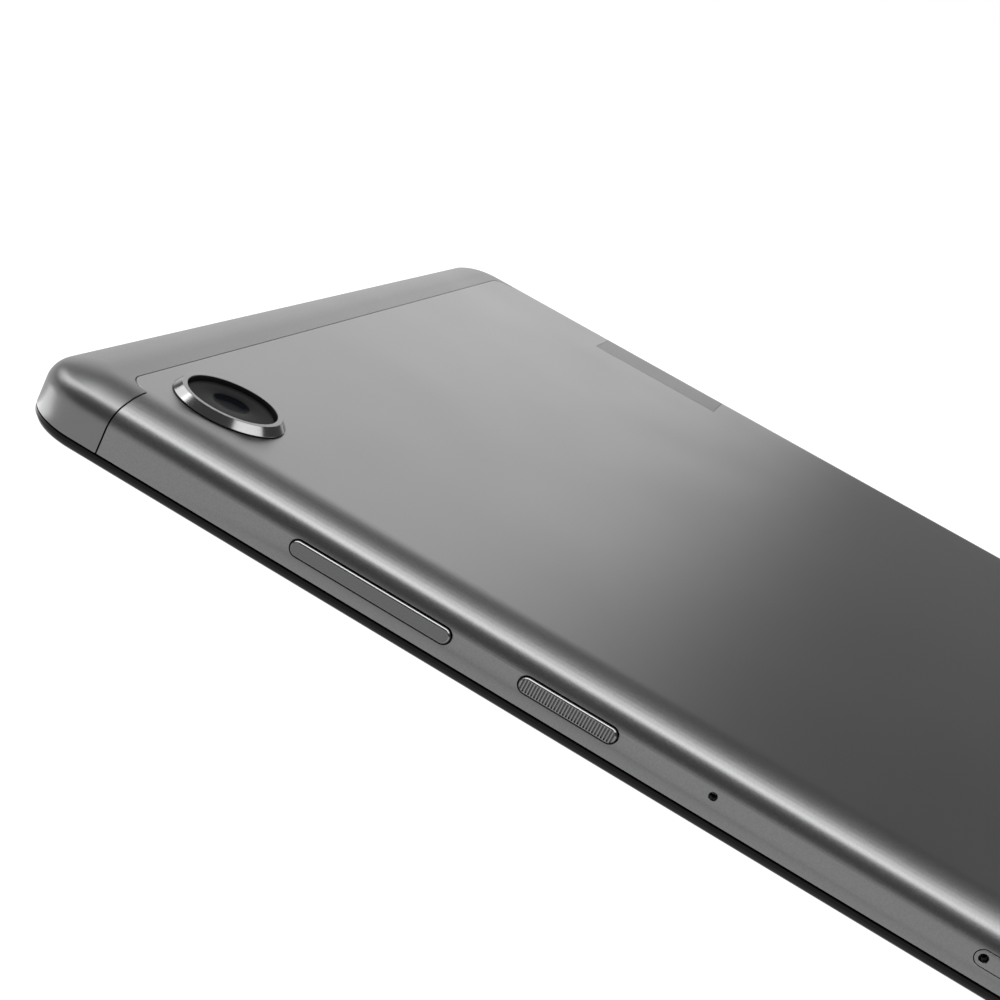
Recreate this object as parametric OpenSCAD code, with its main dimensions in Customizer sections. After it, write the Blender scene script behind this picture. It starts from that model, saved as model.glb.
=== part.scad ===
// Ten-inch tablet computer, lying on its screen with the rear cover up.
// X runs along the long side, from the camera end (-X) to the connector end (+X).
// Y runs across, from the key side (-Y) to the dock side (+Y). Z is 0 on the screen glass.

/* [Body] */
// Length of the body
body_l = 244.2; // [210:1:300]
// Width of the body
body_w = 153.3; // [128:1:190]
// Thickness of the body, without the camera ring
body_t = 8.0; // [7.8:0.1:10]
// Radius of the four corners, seen from the rear
corner_r = 7.8; // [6.4:0.1:9]
// Radius of the tight arc where the side turns
edge_r = 2.7; // [2.2:0.1:2.8]
// Radius of the wide arc that runs out onto the rear face
crown_r = 10.5; // [8:0.1:10.7]
// Angle that the tight arc turns through
edge_turn = 62; // [61:1:66]
// Wall of the rear cover and of its two end caps
cover_wall = 0.9; // [0.7:0.05:1.1]

/* [Cap seams] */
// Depth of an end cap across the rear face
cap_depth = 8.5; // [7:0.1:9.5]
// Depth of an end cap on the long sides
cap_side_depth = 11.0; // [10.4:0.1:12.4]
// Distance of the seam's step from the long side
notch_in = 5.88; // [4:0.01:8]
// Radius that rounds the step into the straight seam
notch_r = 3.0; // [1:0.1:3.2]
// Width of the seam
seam_gap = 0.16; // [0.05:0.01:0.2]

/* [Front stack] */
// Thickness of the cover glass
glass_t = 0.7; // [0.6:0.05:0.9]
// Inset of the glass from the body's side
glass_inset = 0.35; // [0.3:0.05:0.9]
// Radius of the glass's front edge
glass_edge_r = 0.6; // [0.2:0.05:0.6]
// Thickness of the adhesive under the glass
bond_t = 0.1; // [0.05:0.05:0.2]
// Thickness of the touch film
film_t = 0.15; // [0.1:0.05:0.2]
// Thickness of the display cell
panel_t = 1.1; // [0.9:0.05:1.2]
// Thickness of the backlight
backlight_t = 0.95; // [0.8:0.05:1.1]
// Border between the body's end and the display cell
border_end = 9.8; // [9.8:0.1:12]
// Border between the body's long side and the display cell
border_side = 4.9; // [4:0.1:8]
// Thickness of the front frame's flange
flange_t = 0.45; // [0.4:0.05:0.7]
// Inset of the front frame from the body's side
frame_inset = 0.05; // [0:0.05:0.4]
// Shadow gap between the frame and the rear cover
shadow_gap = 0.2; // [0.05:0.05:0.3]
// Thickness of the steel mid plate
plate_t = 0.25; // [0.2:0.05:0.4]

/* [Rear camera] */
// Distance of the lens axis from the camera end
camera_from_end = 17.35; // [17.3:0.05:20]
// Distance of the lens axis from the key side
camera_from_side = 14.8; // [14:0.1:18]
// Radius of the ring where it meets the cover
ring_r = 6.7; // [6.5:0.05:7.5]
// Radius of the ring at its top
ring_top_r = 5.95; // [5.8:0.05:6.4]
// Radius of the ring's opening
ring_open_r = 5.34; // [5.2:0.02:5.6]
// Height of the ring above the cover
ring_h = 1.05; // [0.9:0.05:1.5]
// Height of the ring's foot, below its bevel
ring_foot_h = 0.15; // [0.1:0.05:0.4]
// Depth of the black face plate below the ring's top
face_recess = 0.5; // [0.2:0.05:0.6]
// Radius of the hole in the black face plate
aperture_r = 2.15; // [1.8:0.05:2.5]
// Radius of the focus barrel
barrel_r = 3.0; // [2.6:0.05:3.2]
// Travel of the focus barrel
focus_travel = 0.25; // [0.1:0.05:0.3]

/* [Keys] */
// Height of the keys' centre line above the mid plate
key_above_plate = 0.82; // [0.8:0.01:1]
// Height of a key
key_h = 1.74; // [1.4:0.02:1.74]
// Gap round a key
key_gap = 0.15; // [0.06:0.01:0.18]
// How far a key stands out of the side
key_proud = 0.35; // [0.1:0.05:0.6]
// Length of the volume key
volume_l = 19.1; // [16:0.1:22]
// Distance of the volume key's middle from the camera end
volume_from_end = 44.0; // [42:0.1:46]
// Length of the power key
power_l = 11.2; // [9:0.1:14]
// Distance of the power key's middle from the camera end
power_from_end = 67.3; // [66:0.1:69]
// Pitch of the grooves on the power key
groove_pitch = 0.335; // [0.3:0.005:0.5]
// Travel of the power key
press_travel = 0.2; // [0.15:0.05:0.25]

/* [Card tray] */
// Distance of the tray's middle from the camera end
tray_from_end = 120.9; // [120:0.1:123]
// Length of the tray's door
door_l = 17.0; // [16.4:0.1:19]
// Gap round the tray's door
door_gap = 0.06; // [0.04:0.01:0.1]
// Thickness of the tray's door
door_t = 1.2; // [1:0.05:1.3]
// Width of the memory card
card_w = 11.0; // [10.9:0.05:11.1]
// Length of the memory card
card_l = 15.0; // [14.9:0.05:15.1]
// Radius of the eject pin hole
pin_hole_r = 0.48; // [0.4:0.02:0.5]
// Travel of the eject rod
eject_travel = 1.5; // [1:0.1:1.5]

/* [Ports] */
// Radius of the audio jack's bore
jack_r = 1.8; // [1.78:0.01:1.85]
// Distance of the audio jack from the dock side
jack_from_side = 18; // [16:0.5:20]
// Radius of a speaker hole
speaker_hole_r = 0.55; // [0.4:0.05:0.7]
// Pitch of the speaker holes
speaker_pitch = 2.0; // [1.8:0.1:2.4]
// Number of speaker holes at each end
speaker_holes = 12; // [6:1:13]
// Distance of the microphone hole from the camera end
mic_from_end = 83.8; // [83:0.1:90]
// Radius of the microphone hole
mic_r = 0.45; // [0.3:0.05:0.6]
// Length of the name plate
name_l = 23.8; // [16:0.1:30]
// Width of the name plate
name_w = 10.1; // [6:0.1:12]

/* [Inside] */
// Length of a battery cell
cell_l = 100; // [80:1:100]
// Width of a battery cell
cell_w = 46; // [36:1:46]
// Thickness of the circuit boards
board_t = 0.8; // [0.6:0.05:1]
// Radius of a screw's shank
screw_r = 0.7; // [0.6:0.05:0.7]
// Radius of a standoff
standoff_r = 1.5; // [1.3:0.1:1.6]

/* [Hidden] */
$fn = 48;
eps = 0.01;

// Places measured from an end or a side of the body
function from_end(d) = -body_l / 2 + d;
function from_foot(d) = body_l / 2 - d;
function from_keys(d) = -body_w / 2 + d;
function from_dock(d) = body_w / 2 - d;

// Levels of the layers, from the glass up
film_z = glass_t;
panel_z = film_z + film_t;
backlight_z = panel_z + panel_t;
plate_z = backlight_z + backlight_t;
plate_top = plate_z + plate_t;
frame_z = glass_t + bond_t;
flange_top = frame_z + flange_t;
cover_z = flange_top + shadow_gap;
inner_z = body_t - cover_wall;
key_z = plate_top + key_above_plate;
main_z = key_z + key_h / 2 + 0.06;
main_top = main_z + board_t;
sub_z = main_z - 0.5;
sub_top = sub_z + board_t;

// Centres of the two arcs of the side's section, as (inset from the side, height)
edge_start_z = body_t - edge_r * sin(edge_turn) - crown_r * (1 - sin(edge_turn));
crown_in = edge_r + (crown_r - edge_r) * cos(edge_turn);
crown_z = edge_start_z - (crown_r - edge_r) * sin(edge_turn);
edge_steps = 7;
crown_steps = 4;

// Section of the body's side, offset inwards by o, as (distance from the corner's centre, height)
function body_section(o, low) = concat(
    [[0, low], [corner_r - o, low]],
    [for (k = [0:edge_steps]) let (a = edge_turn * k / edge_steps)
        [corner_r - edge_r + (edge_r - o) * cos(a), edge_start_z + (edge_r - o) * sin(a)]],
    [for (k = [1:crown_steps]) let (a = edge_turn + (90 - edge_turn) * k / crown_steps)
        [corner_r - crown_in + (crown_r - o) * cos(a), crown_z + (crown_r - o) * sin(a)]],
    [[0, body_t - o]]
);

// Carries a section round a rounded rectangle of the body's size; low and high are its levels in the middle
module carried(section, low, high) {
    core_l = body_l - 2 * corner_r;
    core_w = body_w - 2 * corner_r;
    translate([-core_l / 2, -core_w / 2, low]) cube([core_l, core_w, high - low]);
    for (k = [0:3]) {
        end_x = (k == 0 || k == 3) ? core_l / 2 : -core_l / 2;
        end_y = (k < 2) ? core_w / 2 : -core_w / 2;
        translate([end_x, end_y, 0]) rotate([0, 0, 90 * k]) rotate_extrude(angle = 90) polygon(section);
    }
    for (s = [0, 1]) rotate([0, 0, 180 * s]) {
        translate([core_l / 2, core_w / 2, 0]) rotate([90, 0, 0]) linear_extrude(core_w) polygon(section);
        translate([-core_l / 2, core_w / 2, 0]) rotate([90, 0, 90]) linear_extrude(core_l) polygon(section);
    }
}

// The body's outer form, taken in by o all over
module body_form(o, low) {
    carried(body_section(o, low), low, body_t - o);
}

// A flat plate with the body's outline, taken in by o
module outline_plate(o, low, high) {
    carried([[0, low], [corner_r - o, low], [corner_r - o, high], [0, high]], low, high);
}

module cover_shell() {
    difference() {
        body_form(0, cover_z);
        body_form(cover_wall, cover_z - 1);
    }
}

module box(low, high) {
    translate(low) cube([high[0] - low[0], high[1] - low[1], high[2] - low[2]]);
}

// A slot with round ends: long along X, with its axis along Y, from y = 0 to y = d
module slot_y(l, h, d) {
    rotate([-90, 0, 0]) linear_extrude(d) {
        square([l - h, h], center = true);
        for (s = [-1, 1]) translate([s * (l - h) / 2, 0]) circle(h / 2);
    }
}

// The same with its axis along X, long along Y, from x = 0 to x = d
module slot_x(l, h, d) {
    rotate([0, 0, -90]) slot_y(l, h, d);
}

module round_y(r, d) {
    rotate([-90, 0, 0]) cylinder(r = r, h = d);
}

module round_x(r, d) {
    rotate([0, 90, 0]) cylinder(r = r, h = d);
}

// ---- end caps and rear cover ----

notch_steps = 8;
notch_turn = 80;

// Outline of an end cap's seam on one side, as (distance from the end, distance from the long side)
function seam_step(grow) = concat(
    [[cap_side_depth + grow, -2], [cap_side_depth + grow + 0.25, notch_in + 0.4 * grow]],
    [for (k = [notch_steps:-1:0]) let (a = notch_turn * k / notch_steps)
        [cap_depth + notch_r + grow - notch_r * cos(a),
            notch_in + 0.15 + notch_r * (sin(notch_turn) - sin(a)) + 0.4 * grow]]
);

// Zone of the camera-end cap, grown by grow at its seam
module cap_zone(grow) {
    side = seam_step(grow);
    last = len(side) - 1;
    near = [for (p = side) [from_end(p[0]), from_keys(p[1])]];
    far = [for (k = [last:-1:0]) [from_end(side[k][0]), from_dock(side[k][1])]];
    outer = [[from_end(-2), from_dock(-2)], [from_end(-2), from_keys(-2)]];
    translate([0, 0, -1]) linear_extrude(body_t + 2) polygon(concat(near, far, outer));
}

tongue_t = 0.6;
tongue_l = 6;

// Strip under the cap's roof that is bonded to the inside of the rear cover
module cap_tongue() {
    box([from_end(cap_depth - 1.7), from_keys(24), inner_z - tongue_t],
        [from_end(cap_depth - 1.7 + tongue_l), from_dock(24), inner_z]);
}

camera_x = from_end(camera_from_end);
camera_y = from_keys(camera_from_side);
spigot_r = ring_r - 0.8;
spigot_gap = 0.05;

tray_x = from_end(tray_from_end);
door_h = key_h + 0.02;
dock_z = key_z + 0.18;
dock_l = 14;
dock_h = 2.4;

name_t = 0.25;
name_from_end = 32.2;
name_from_dock = 5.1;

module name_zone() {
    box([from_end(name_from_end), from_dock(name_from_dock + name_w), cover_z],
        [from_end(name_from_end + name_l), from_dock(name_from_dock), body_t + 1]);
}

module side_slot(from_camera_end, l, h) {
    translate([from_end(from_camera_end), from_keys(-2), key_z]) slot_y(l, h, cover_wall + 4);
}

module rear_cover() {
    color("dimgray") difference() {
        cover_shell();
        cap_zone(seam_gap);
        mirror([1, 0, 0]) cap_zone(seam_gap);
        translate([camera_x, camera_y, inner_z - 1]) cylinder(r = spigot_r + spigot_gap, h = cover_wall + 2);
        side_slot(volume_from_end, volume_l + 2 * key_gap, key_h + 2 * key_gap);
        side_slot(power_from_end, power_l + 2 * key_gap, key_h + 2 * key_gap);
        side_slot(tray_from_end, door_l + 2 * door_gap, door_h + 2 * door_gap);
        translate([from_end(mic_from_end), from_keys(-2), key_z]) round_y(mic_r, cover_wall + 4);
        translate([0, from_dock(cover_wall + 2), dock_z]) slot_y(dock_l + 0.1, dock_h + 0.1, cover_wall + 4);
        difference() {
            name_zone();
            body_form(name_t, cover_z);
        }
    }
}

module name_plate() {
    color("slategray") intersection() {
        name_zone();
        difference() {
            body_form(0, cover_z);
            body_form(name_t, cover_z - 1);
        }
    }
}

jack_y = from_dock(jack_from_side);
jack_z = key_z + 0.58;
jack_boss_in = 4.7;
jack_wall = 0.8;
top_speaker_y = from_keys(42);
bottom_speaker_y = from_dock(24);
usb_z = key_z + 0.83;
usb_l = 8.94;
usb_h = 3.16;

module speaker_row(y) {
    for (k = [0:speaker_holes - 1])
        translate([from_end(-1), y + (k - (speaker_holes - 1) / 2) * speaker_pitch, key_z + 0.1])
            round_x(speaker_hole_r, cover_wall + 1.9);
}

module top_cap() {
    color("dimgray") difference() {
        union() {
            intersection() {
                cover_shell();
                cap_zone(0);
            }
            intersection() {
                body_form(cover_wall / 2, plate_z);
                box([from_end(0), jack_y - 3, plate_z], [from_end(jack_boss_in), jack_y + 3, body_t]);
            }
            cap_tongue();
        }
        speaker_row(top_speaker_y);
        translate([from_end(-1), jack_y, jack_z]) round_x(jack_r, jack_boss_in + 2);
    }
}

module bottom_cap() {
    color("dimgray") difference() {
        mirror([1, 0, 0]) {
            intersection() {
                cover_shell();
                cap_zone(0);
            }
            cap_tongue();
        }
        mirror([1, 0, 0]) speaker_row(bottom_speaker_y);
        translate([from_foot(cover_wall + 2), 0, usb_z]) slot_x(usb_l + 0.16, usb_h + 0.16, cover_wall + 3);
    }
}

// ---- front stack ----

glass_steps = 4;

module cover_glass() {
    edge = corner_r - glass_inset;
    arc = [for (k = [0:glass_steps]) let (a = 90 * k / glass_steps)
        [edge - glass_edge_r + glass_edge_r * sin(a), glass_edge_r - glass_edge_r * cos(a)]];
    color("black") carried(concat([[0, 0]], arc, [[edge, glass_t], [0, glass_t]]), 0, glass_t);
}

module display_layer(clearance, low, high) {
    box([from_end(border_end - clearance), from_keys(border_side - clearance), low],
        [from_foot(border_end - clearance), from_dock(border_side - clearance), high]);
}

panel_clearance = 0.3;

module glass_adhesive() {
    color("darkslategray") difference() {
        outline_plate(glass_inset + 0.3, glass_t, frame_z);
        display_layer(panel_clearance + 0.6, glass_t - 1, frame_z + 1);
        translate([front_camera_x, 0, 0]) cylinder(r = front_lens_r + 0.3, h = frame_z + 1);
        translate([front_camera_x, light_sensor_y, 0]) cylinder(r = light_hole_r, h = frame_z + 1);
    }
}

module touch_film() {
    color("lightgray") display_layer(0, film_z, panel_z);
}

module display_panel() {
    color("darkslategray") display_layer(0, panel_z, backlight_z);
}

module backlight() {
    color("silver") display_layer(0, backlight_z, plate_z);
}

flex_t = 0.12;

// Flex that leaves the display's edge, folds round it through the mid plate and runs to the sub board
module edge_flex(y, w, z) {
    outer = border_end - 0.9;
    low = [0, y - w / 2, 0];
    high = [0, y + w / 2, 0];
    box(low + [from_foot(border_end), 0, z], high + [from_foot(outer), 0, z + flex_t]);
    box(low + [from_foot(outer + flex_t), 0, z], high + [from_foot(outer), 0, plate_top + flex_t]);
    box(low + [from_foot(22), 0, plate_top], high + [from_foot(outer), 0, plate_top + flex_t]);
    box(low + [from_foot(22), 0, plate_top], high + [from_foot(20), 0, sub_z]);
}

display_flex_y = -9.5;
display_flex_w = 7;
touch_flex_y = 9.5;
touch_flex_w = 5;

module display_flex() {
    color("goldenrod") edge_flex(display_flex_y, display_flex_w, panel_z + 0.3);
}

module touch_flex() {
    color("goldenrod") edge_flex(touch_flex_y, touch_flex_w, film_z + 0.02);
}

front_camera_x = from_end(5.2);
front_camera_w = 5;
front_lens_r = 1.6;
light_sensor_y = 10;
light_hole_r = 0.8;

frame_wall_in = cover_wall + 0.15;
frame_wall_t = 1.15;
clip_l = 6;
clips_long = 6;
clips_short = 3;

// Ribs on the frame's wall that bear on the inside of the cover
module clip_ribs() {
    low = flange_top + 0.5;
    high = plate_z - 0.3;
    for (k = [1:clips_long], s = [-1, 1]) {
        x = -body_l / 2 + k * body_l / (clips_long + 1);
        y = s * (body_w / 2 - cover_wall - 0.3);
        translate([x - clip_l / 2, y - 0.3, low]) cube([clip_l, 0.6, high - low]);
    }
    for (k = [1:clips_short], s = [-1, 1]) {
        x = s * (body_l / 2 - cover_wall - 0.3);
        y = -body_w / 2 + k * body_w / (clips_short + 1);
        translate([x - 0.3, y - clip_l / 2, low]) cube([0.6, clip_l, high - low]);
    }
}

module front_frame() {
    color("black") difference() {
        union() {
            outline_plate(frame_inset, frame_z, flange_top);
            difference() {
                outline_plate(frame_wall_in, flange_top, plate_z);
                outline_plate(frame_wall_in + frame_wall_t, flange_top - 1, plate_z + 1);
            }
            clip_ribs();
        }
        display_layer(panel_clearance, 0, body_t);
        box([from_foot(border_end), display_flex_y - 4, frame_z - 1], [from_foot(8.5), display_flex_y + 4, body_t]);
        box([from_foot(border_end), touch_flex_y - 3, frame_z - 1], [from_foot(8.5), touch_flex_y + 3, body_t]);
        translate([front_camera_x, 0, 0]) cylinder(r = front_lens_r + 0.1, h = body_t);
        translate([front_camera_x, light_sensor_y, 0]) cylinder(r = light_hole_r, h = body_t);
        box([from_end(0.3), jack_y - 3.3, flange_top], [from_end(5), jack_y + 3.3, body_t]);
    }
}

// ---- mid plate and its standoffs ----

plate_in = 2.0;
housing_w = 9;
board_start = camera_from_end + housing_w / 2 + 0.15;
main_screws = [
    [from_end(board_start + 3), from_keys(27)], [from_end(67), from_keys(28)],
    [from_end(board_start + 3), from_dock(20)], [from_end(67), from_dock(20)],
    [from_end(72), from_keys(10)], [from_end(134), from_keys(20)]
];
sub_screws = [[from_foot(20), -19], [from_foot(20), 19], [from_foot(6), -14], [from_foot(6), 14]];
screw_gap = 0.05;

module standoff(at, high) {
    translate([at[0], at[1], plate_top - eps]) difference() {
        cylinder(r = standoff_r, h = high - plate_top + eps);
        translate([0, 0, 0.3]) cylinder(r = screw_r + screw_gap, h = high);
    }
}

module mid_plate() {
    color("silver") {
        difference() {
            outline_plate(plate_in, plate_z, plate_top);
            box([from_end(1), jack_y - 3.1, plate_z - 1], [from_end(16.3), jack_y + 3.1, body_t]);
            box([front_camera_x - 2.8, -2.8, plate_z - 1], [front_camera_x + 2.8, 2.8, body_t]);
            box([from_foot(9.3), display_flex_y - 3.8, plate_z - 1], [from_foot(8.6), display_flex_y + 3.8, body_t]);
            box([from_foot(9.3), touch_flex_y - 2.8, plate_z - 1], [from_foot(8.6), touch_flex_y + 2.8, body_t]);
        }
        for (at = main_screws) standoff(at, main_z);
        for (at = sub_screws) standoff(at, sub_z);
    }
}

screw_head_r = 1.3;
screw_head_h = 0.5;
screw_l = 1.6;

module screw(at, seat) {
    translate([at[0], at[1], seat]) {
        difference() {
            cylinder(r = screw_head_r, h = screw_head_h);
            translate([0, 0, screw_head_h - 0.25]) cylinder(r = 0.45, h = 1, $fn = 6);
        }
        translate([0, 0, -screw_l]) cylinder(r = screw_r, h = screw_l + eps);
    }
}

module board_screws() {
    color("silver") {
        for (at = main_screws) screw(at, main_top);
        for (at = sub_screws) screw(at, sub_top);
    }
}

// ---- rear camera ----

ledge_t = 0.7;
ledge_r = ring_open_r - 0.82;

module camera_ring() {
    top = body_t + ring_h;
    color("lightgray") translate([camera_x, camera_y, 0]) rotate_extrude() polygon([
        [ledge_r, body_t - ledge_t], [spigot_r, body_t - ledge_t], [spigot_r, body_t], [ring_r, body_t],
        [ring_r, body_t + ring_foot_h], [ring_top_r, top], [ring_open_r, top], [ring_open_r, body_t],
        [ledge_r, body_t]
    ]);
}

face_t = 0.12;
face_top = body_t + ring_h - face_recess;

module camera_window() {
    color("black") translate([camera_x, camera_y, body_t])
        cylinder(r = ring_open_r - 0.04, h = face_top - face_t - body_t);
}

module camera_face() {
    color("black") translate([camera_x, camera_y, face_top - face_t]) difference() {
        cylinder(r = ring_open_r - 0.04, h = face_t);
        translate([0, 0, -1]) cylinder(r = aperture_r, h = 2);
    }
}

housing_top = inner_z - 0.2;
barrel_low = plate_top + 1.45;
barrel_top = body_t - 0.45 - focus_travel;
barrel_gap = 0.06;

module camera_gasket() {
    color("black") translate([camera_x, camera_y, housing_top]) difference() {
        cylinder(r = ledge_r + 0.4, h = body_t - ledge_t - housing_top);
        translate([0, 0, -1]) cylinder(r = barrel_r + 0.4, h = 3);
    }
}

module camera_housing() {
    color("darkgray") difference() {
        box([camera_x - housing_w / 2, camera_y - housing_w / 2, plate_top],
            [camera_x + housing_w / 2, camera_y + housing_w / 2, housing_top]);
        translate([camera_x, camera_y, plate_top + 1.05]) cylinder(r = barrel_r + barrel_gap, h = body_t);
        box([camera_x - 3.1, camera_y - 3.1, plate_top + 0.4], [camera_x + 3.1, camera_y + 3.1, plate_top + 1.2]);
    }
}

module camera_sensor() {
    color("darkgreen") box([camera_x - 3, camera_y - 3, plate_top + 0.4], [camera_x + 3, camera_y + 3, plate_top + 1]);
}

lens_r = barrel_r - 1.1;
lens_z = barrel_top - 0.8;

module focus_barrel() {
    color("black") translate([camera_x, camera_y, barrel_low]) difference() {
        cylinder(r = barrel_r, h = barrel_top - barrel_low);
        translate([0, 0, -1]) cylinder(r = lens_r, h = barrel_top - barrel_low + 0.8);
        cylinder(r = lens_r - 0.5, h = body_t);
    }
}

module focus_lens() {
    color("lightblue") translate([camera_x, camera_y, lens_z - 0.5]) cylinder(r = lens_r, h = 0.8);
}

module camera_flex() {
    low = [camera_x + housing_w / 2, camera_y - 3, plate_top];
    color("goldenrod") {
        box(low, [from_end(board_start + 4), camera_y + 3, plate_top + flex_t]);
        box([from_end(board_start + 1.5), camera_y - 3, plate_top],
            [from_end(board_start + 3.5), camera_y + 3, main_z]);
    }
}

module front_camera() {
    color("black") {
        box([front_camera_x - front_camera_w / 2, -front_camera_w / 2, flange_top],
            [front_camera_x + front_camera_w / 2, front_camera_w / 2, plate_top + 1]);
        translate([front_camera_x, 0, glass_t + 0.03]) cylinder(r = front_lens_r, h = flange_top - glass_t);
    }
}

module light_sensor() {
    color("darkslategray") box([front_camera_x - 1.5, light_sensor_y - 1.2, flange_top],
        [front_camera_x + 1.5, light_sensor_y + 1.2, plate_z]);
}

// ---- keys ----

key_face_y = from_keys(-key_proud);
ear_y = from_keys(cover_wall + 0.3);
key_back_y = ear_y + 0.4;
nib_y = key_back_y + 0.4;
dome_h = press_travel + 0.05;
dome_y = nib_y + dome_h;
key_flex_y = dome_y + flex_t;
bracket_t = 0.4;
volume_x = from_end(volume_from_end);
power_x = from_end(power_from_end);
nib_reach = volume_l * 0.31;
rocker_y = key_back_y + 0.2;
rocker_r = 0.4;
rocker_gap = 0.05;
inner_key_h = key_h - 0.3;
ear_l = 0.8;

// A key's body: its cap through the slot, and the ears that hold it in behind the wall
module key_body(x, l) {
    translate([x, key_face_y, key_z]) slot_y(l, key_h, ear_y - key_face_y);
    translate([x, ear_y - eps, key_z]) slot_y(l + 2 * ear_l, inner_key_h, key_back_y - ear_y + eps);
}

module nib(x) {
    translate([x, key_back_y - eps, key_z]) round_y(0.5, nib_y - key_back_y + eps);
}

module volume_key() {
    color("gray") {
        key_body(volume_x, volume_l);
        for (s = [-1, 1]) nib(volume_x + s * nib_reach);
        translate([volume_x, rocker_y, key_z - inner_key_h / 2]) cylinder(r = rocker_r, h = inner_key_h);
    }
}

groove_w = groove_pitch * 0.55;
groove_depth = 0.2;

module power_key() {
    count = floor((power_l - 0.4) / groove_pitch);
    color("gray") {
        difference() {
            key_body(power_x, power_l);
            for (k = [0:count - 1])
                translate([power_x + (k - (count - 1) / 2) * groove_pitch - groove_w / 2,
                    key_face_y - 1, key_z - key_h / 2 + 0.19])
                    cube([groove_w, 1 + groove_depth, key_h - 0.38]);
        }
        nib(power_x);
    }
}

bracket_left = volume_x - volume_l / 2 - 1.2;
bracket_right = power_x + power_l / 2 + 1.6;
cradle_w = 1.6;
cradle_top = 0.25;

module key_bracket() {
    color("silver") difference() {
        union() {
            box([bracket_left, key_flex_y, plate_top], [bracket_right, key_flex_y + bracket_t, main_z - 0.05]);
            box([bracket_left + 2, key_flex_y + bracket_t - eps, plate_top],
                [bracket_right - 2, key_flex_y + bracket_t + 2.4, plate_top + 0.3]);
            box([volume_x - cradle_w / 2, rocker_y, key_z - inner_key_h / 2],
                [volume_x + cradle_w / 2, key_flex_y + eps, key_z + cradle_top]);
        }
        translate([volume_x, rocker_y, plate_top - 1]) cylinder(r = rocker_r + rocker_gap, h = 4);
    }
}

module key_flex() {
    tail = [bracket_right, bracket_right + 2.2];
    color("goldenrod") difference() {
        union() {
            box([bracket_left + 0.4, dome_y, key_z - 0.7], [tail[1], key_flex_y, key_z + 0.7]);
            box([tail[0] + 0.2, dome_y, key_z + 0.58], [tail[1], key_flex_y + 3, key_z + 0.7]);
        }
        box([volume_x - cradle_w / 2 - 0.1, dome_y - 1, plate_top],
            [volume_x + cradle_w / 2 + 0.1, key_flex_y + 1, key_z + cradle_top + 0.1]);
    }
}

module dome(x) {
    translate([x, nib_y, key_z]) round_y(0.7, dome_h);
}

module volume_domes() {
    color("silver") for (s = [-1, 1]) dome(volume_x + s * nib_reach);
}

module power_dome() {
    color("silver") dome(power_x);
}

// ---- microphone ----

mic_x = from_end(mic_from_end);
mic_y = from_keys(cover_wall + 0.8);

module microphone() {
    color("silver") box([mic_x - 1.7, mic_y, plate_top + 0.05], [mic_x + 1.7, from_keys(5), main_z]);
}

module microphone_boot() {
    color("black") difference() {
        box([mic_x - 1.5, from_keys(cover_wall), key_z - 0.8], [mic_x + 1.5, mic_y, key_z + 0.3]);
        translate([mic_x, from_keys(0), key_z]) round_y(mic_r, 3);
    }
}

// ---- card tray, reader and ejector ----

tray_t = 1.0;
tray_rim = 1.0;
tray_w = card_w + 2 * tray_rim;
tray_l = card_l + 1.5;
door_in_y = from_keys(door_t);
tray_end_y = door_in_y + tray_l;
tray_right = tray_x + door_l / 2 - 0.9;
tray_left = tray_right - tray_w;
rod_x = tray_x - door_l / 2 + 0.9;
rod_r = 0.45;
rod_gap = 0.05;
guide_gap = 0.06;
rod_front_y = from_keys(2);
rod_end_y = tray_end_y + 0.6;
lever_half = 0.6;
lever_arm = 6.7;
lever_reach = 4.4;
lever_t = 0.8;
pivot_r = 0.55;
pivot_gap = 0.05;
pivot_x = rod_x + lever_arm;
pivot_y = rod_end_y + rod_r + 0.05 + lever_half;
reader_wall = 0.2;
reader_front_y = from_keys(door_t + 0.25);
reader_end_y = pivot_y + lever_half + eject_travel + 0.75;
reader_left = tray_x - door_l / 2 - 0.9;
reader_right = tray_x + door_l / 2 + 0.9;

module card_tray() {
    color("dimgray") difference() {
        union() {
            translate([tray_x, from_keys(0), key_z]) slot_y(door_l, door_h, door_t);
            box([tray_left, door_in_y - eps, key_z - tray_t / 2], [tray_right, tray_end_y, key_z + tray_t / 2]);
        }
        translate([rod_x, from_keys(-1), key_z]) round_y(pin_hole_r, door_t + 2);
        box([tray_left + tray_rim, tray_end_y - 0.6 - card_l, key_z - tray_t / 2 + 0.3],
            [tray_right - tray_rim, tray_end_y - 0.6, key_z + tray_t]);
        box([tray_left + tray_rim + 1, tray_end_y - 0.6 - card_l + 1, key_z - tray_t],
            [tray_right - tray_rim - 1, tray_end_y - 3.6, key_z + tray_t]);
    }
}

guide_low = from_keys(4);
guide_high = from_keys(12);

// Blocks in the reader that guide the tray's two sides; the left one also guides the eject rod
module guides() {
    box([reader_left + reader_wall - eps, guide_low, plate_top + eps],
        [tray_left - guide_gap, guide_high, main_z - eps]);
    box([tray_right + guide_gap, guide_low, plate_top + eps],
        [reader_right - reader_wall + eps, guide_high, main_z - eps]);
}

module card_reader() {
    color("silver") {
        difference() {
            guides();
            translate([rod_x, guide_low - 1, key_z]) round_y(rod_r + rod_gap, guide_high - guide_low + 2);
        }
        difference() {
            box([reader_left, reader_front_y, plate_top], [reader_right, reader_end_y, main_z]);
            box([reader_left + reader_wall, reader_front_y - 1, plate_top + reader_wall],
                [reader_right - reader_wall, reader_end_y - reader_wall, main_z - reader_wall]);
        }
        translate([pivot_x, pivot_y, plate_top + reader_wall - eps])
            cylinder(r = pivot_r, h = key_z + lever_t / 2 - plate_top - reader_wall + eps);
    }
}

contact_count = 8;

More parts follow.
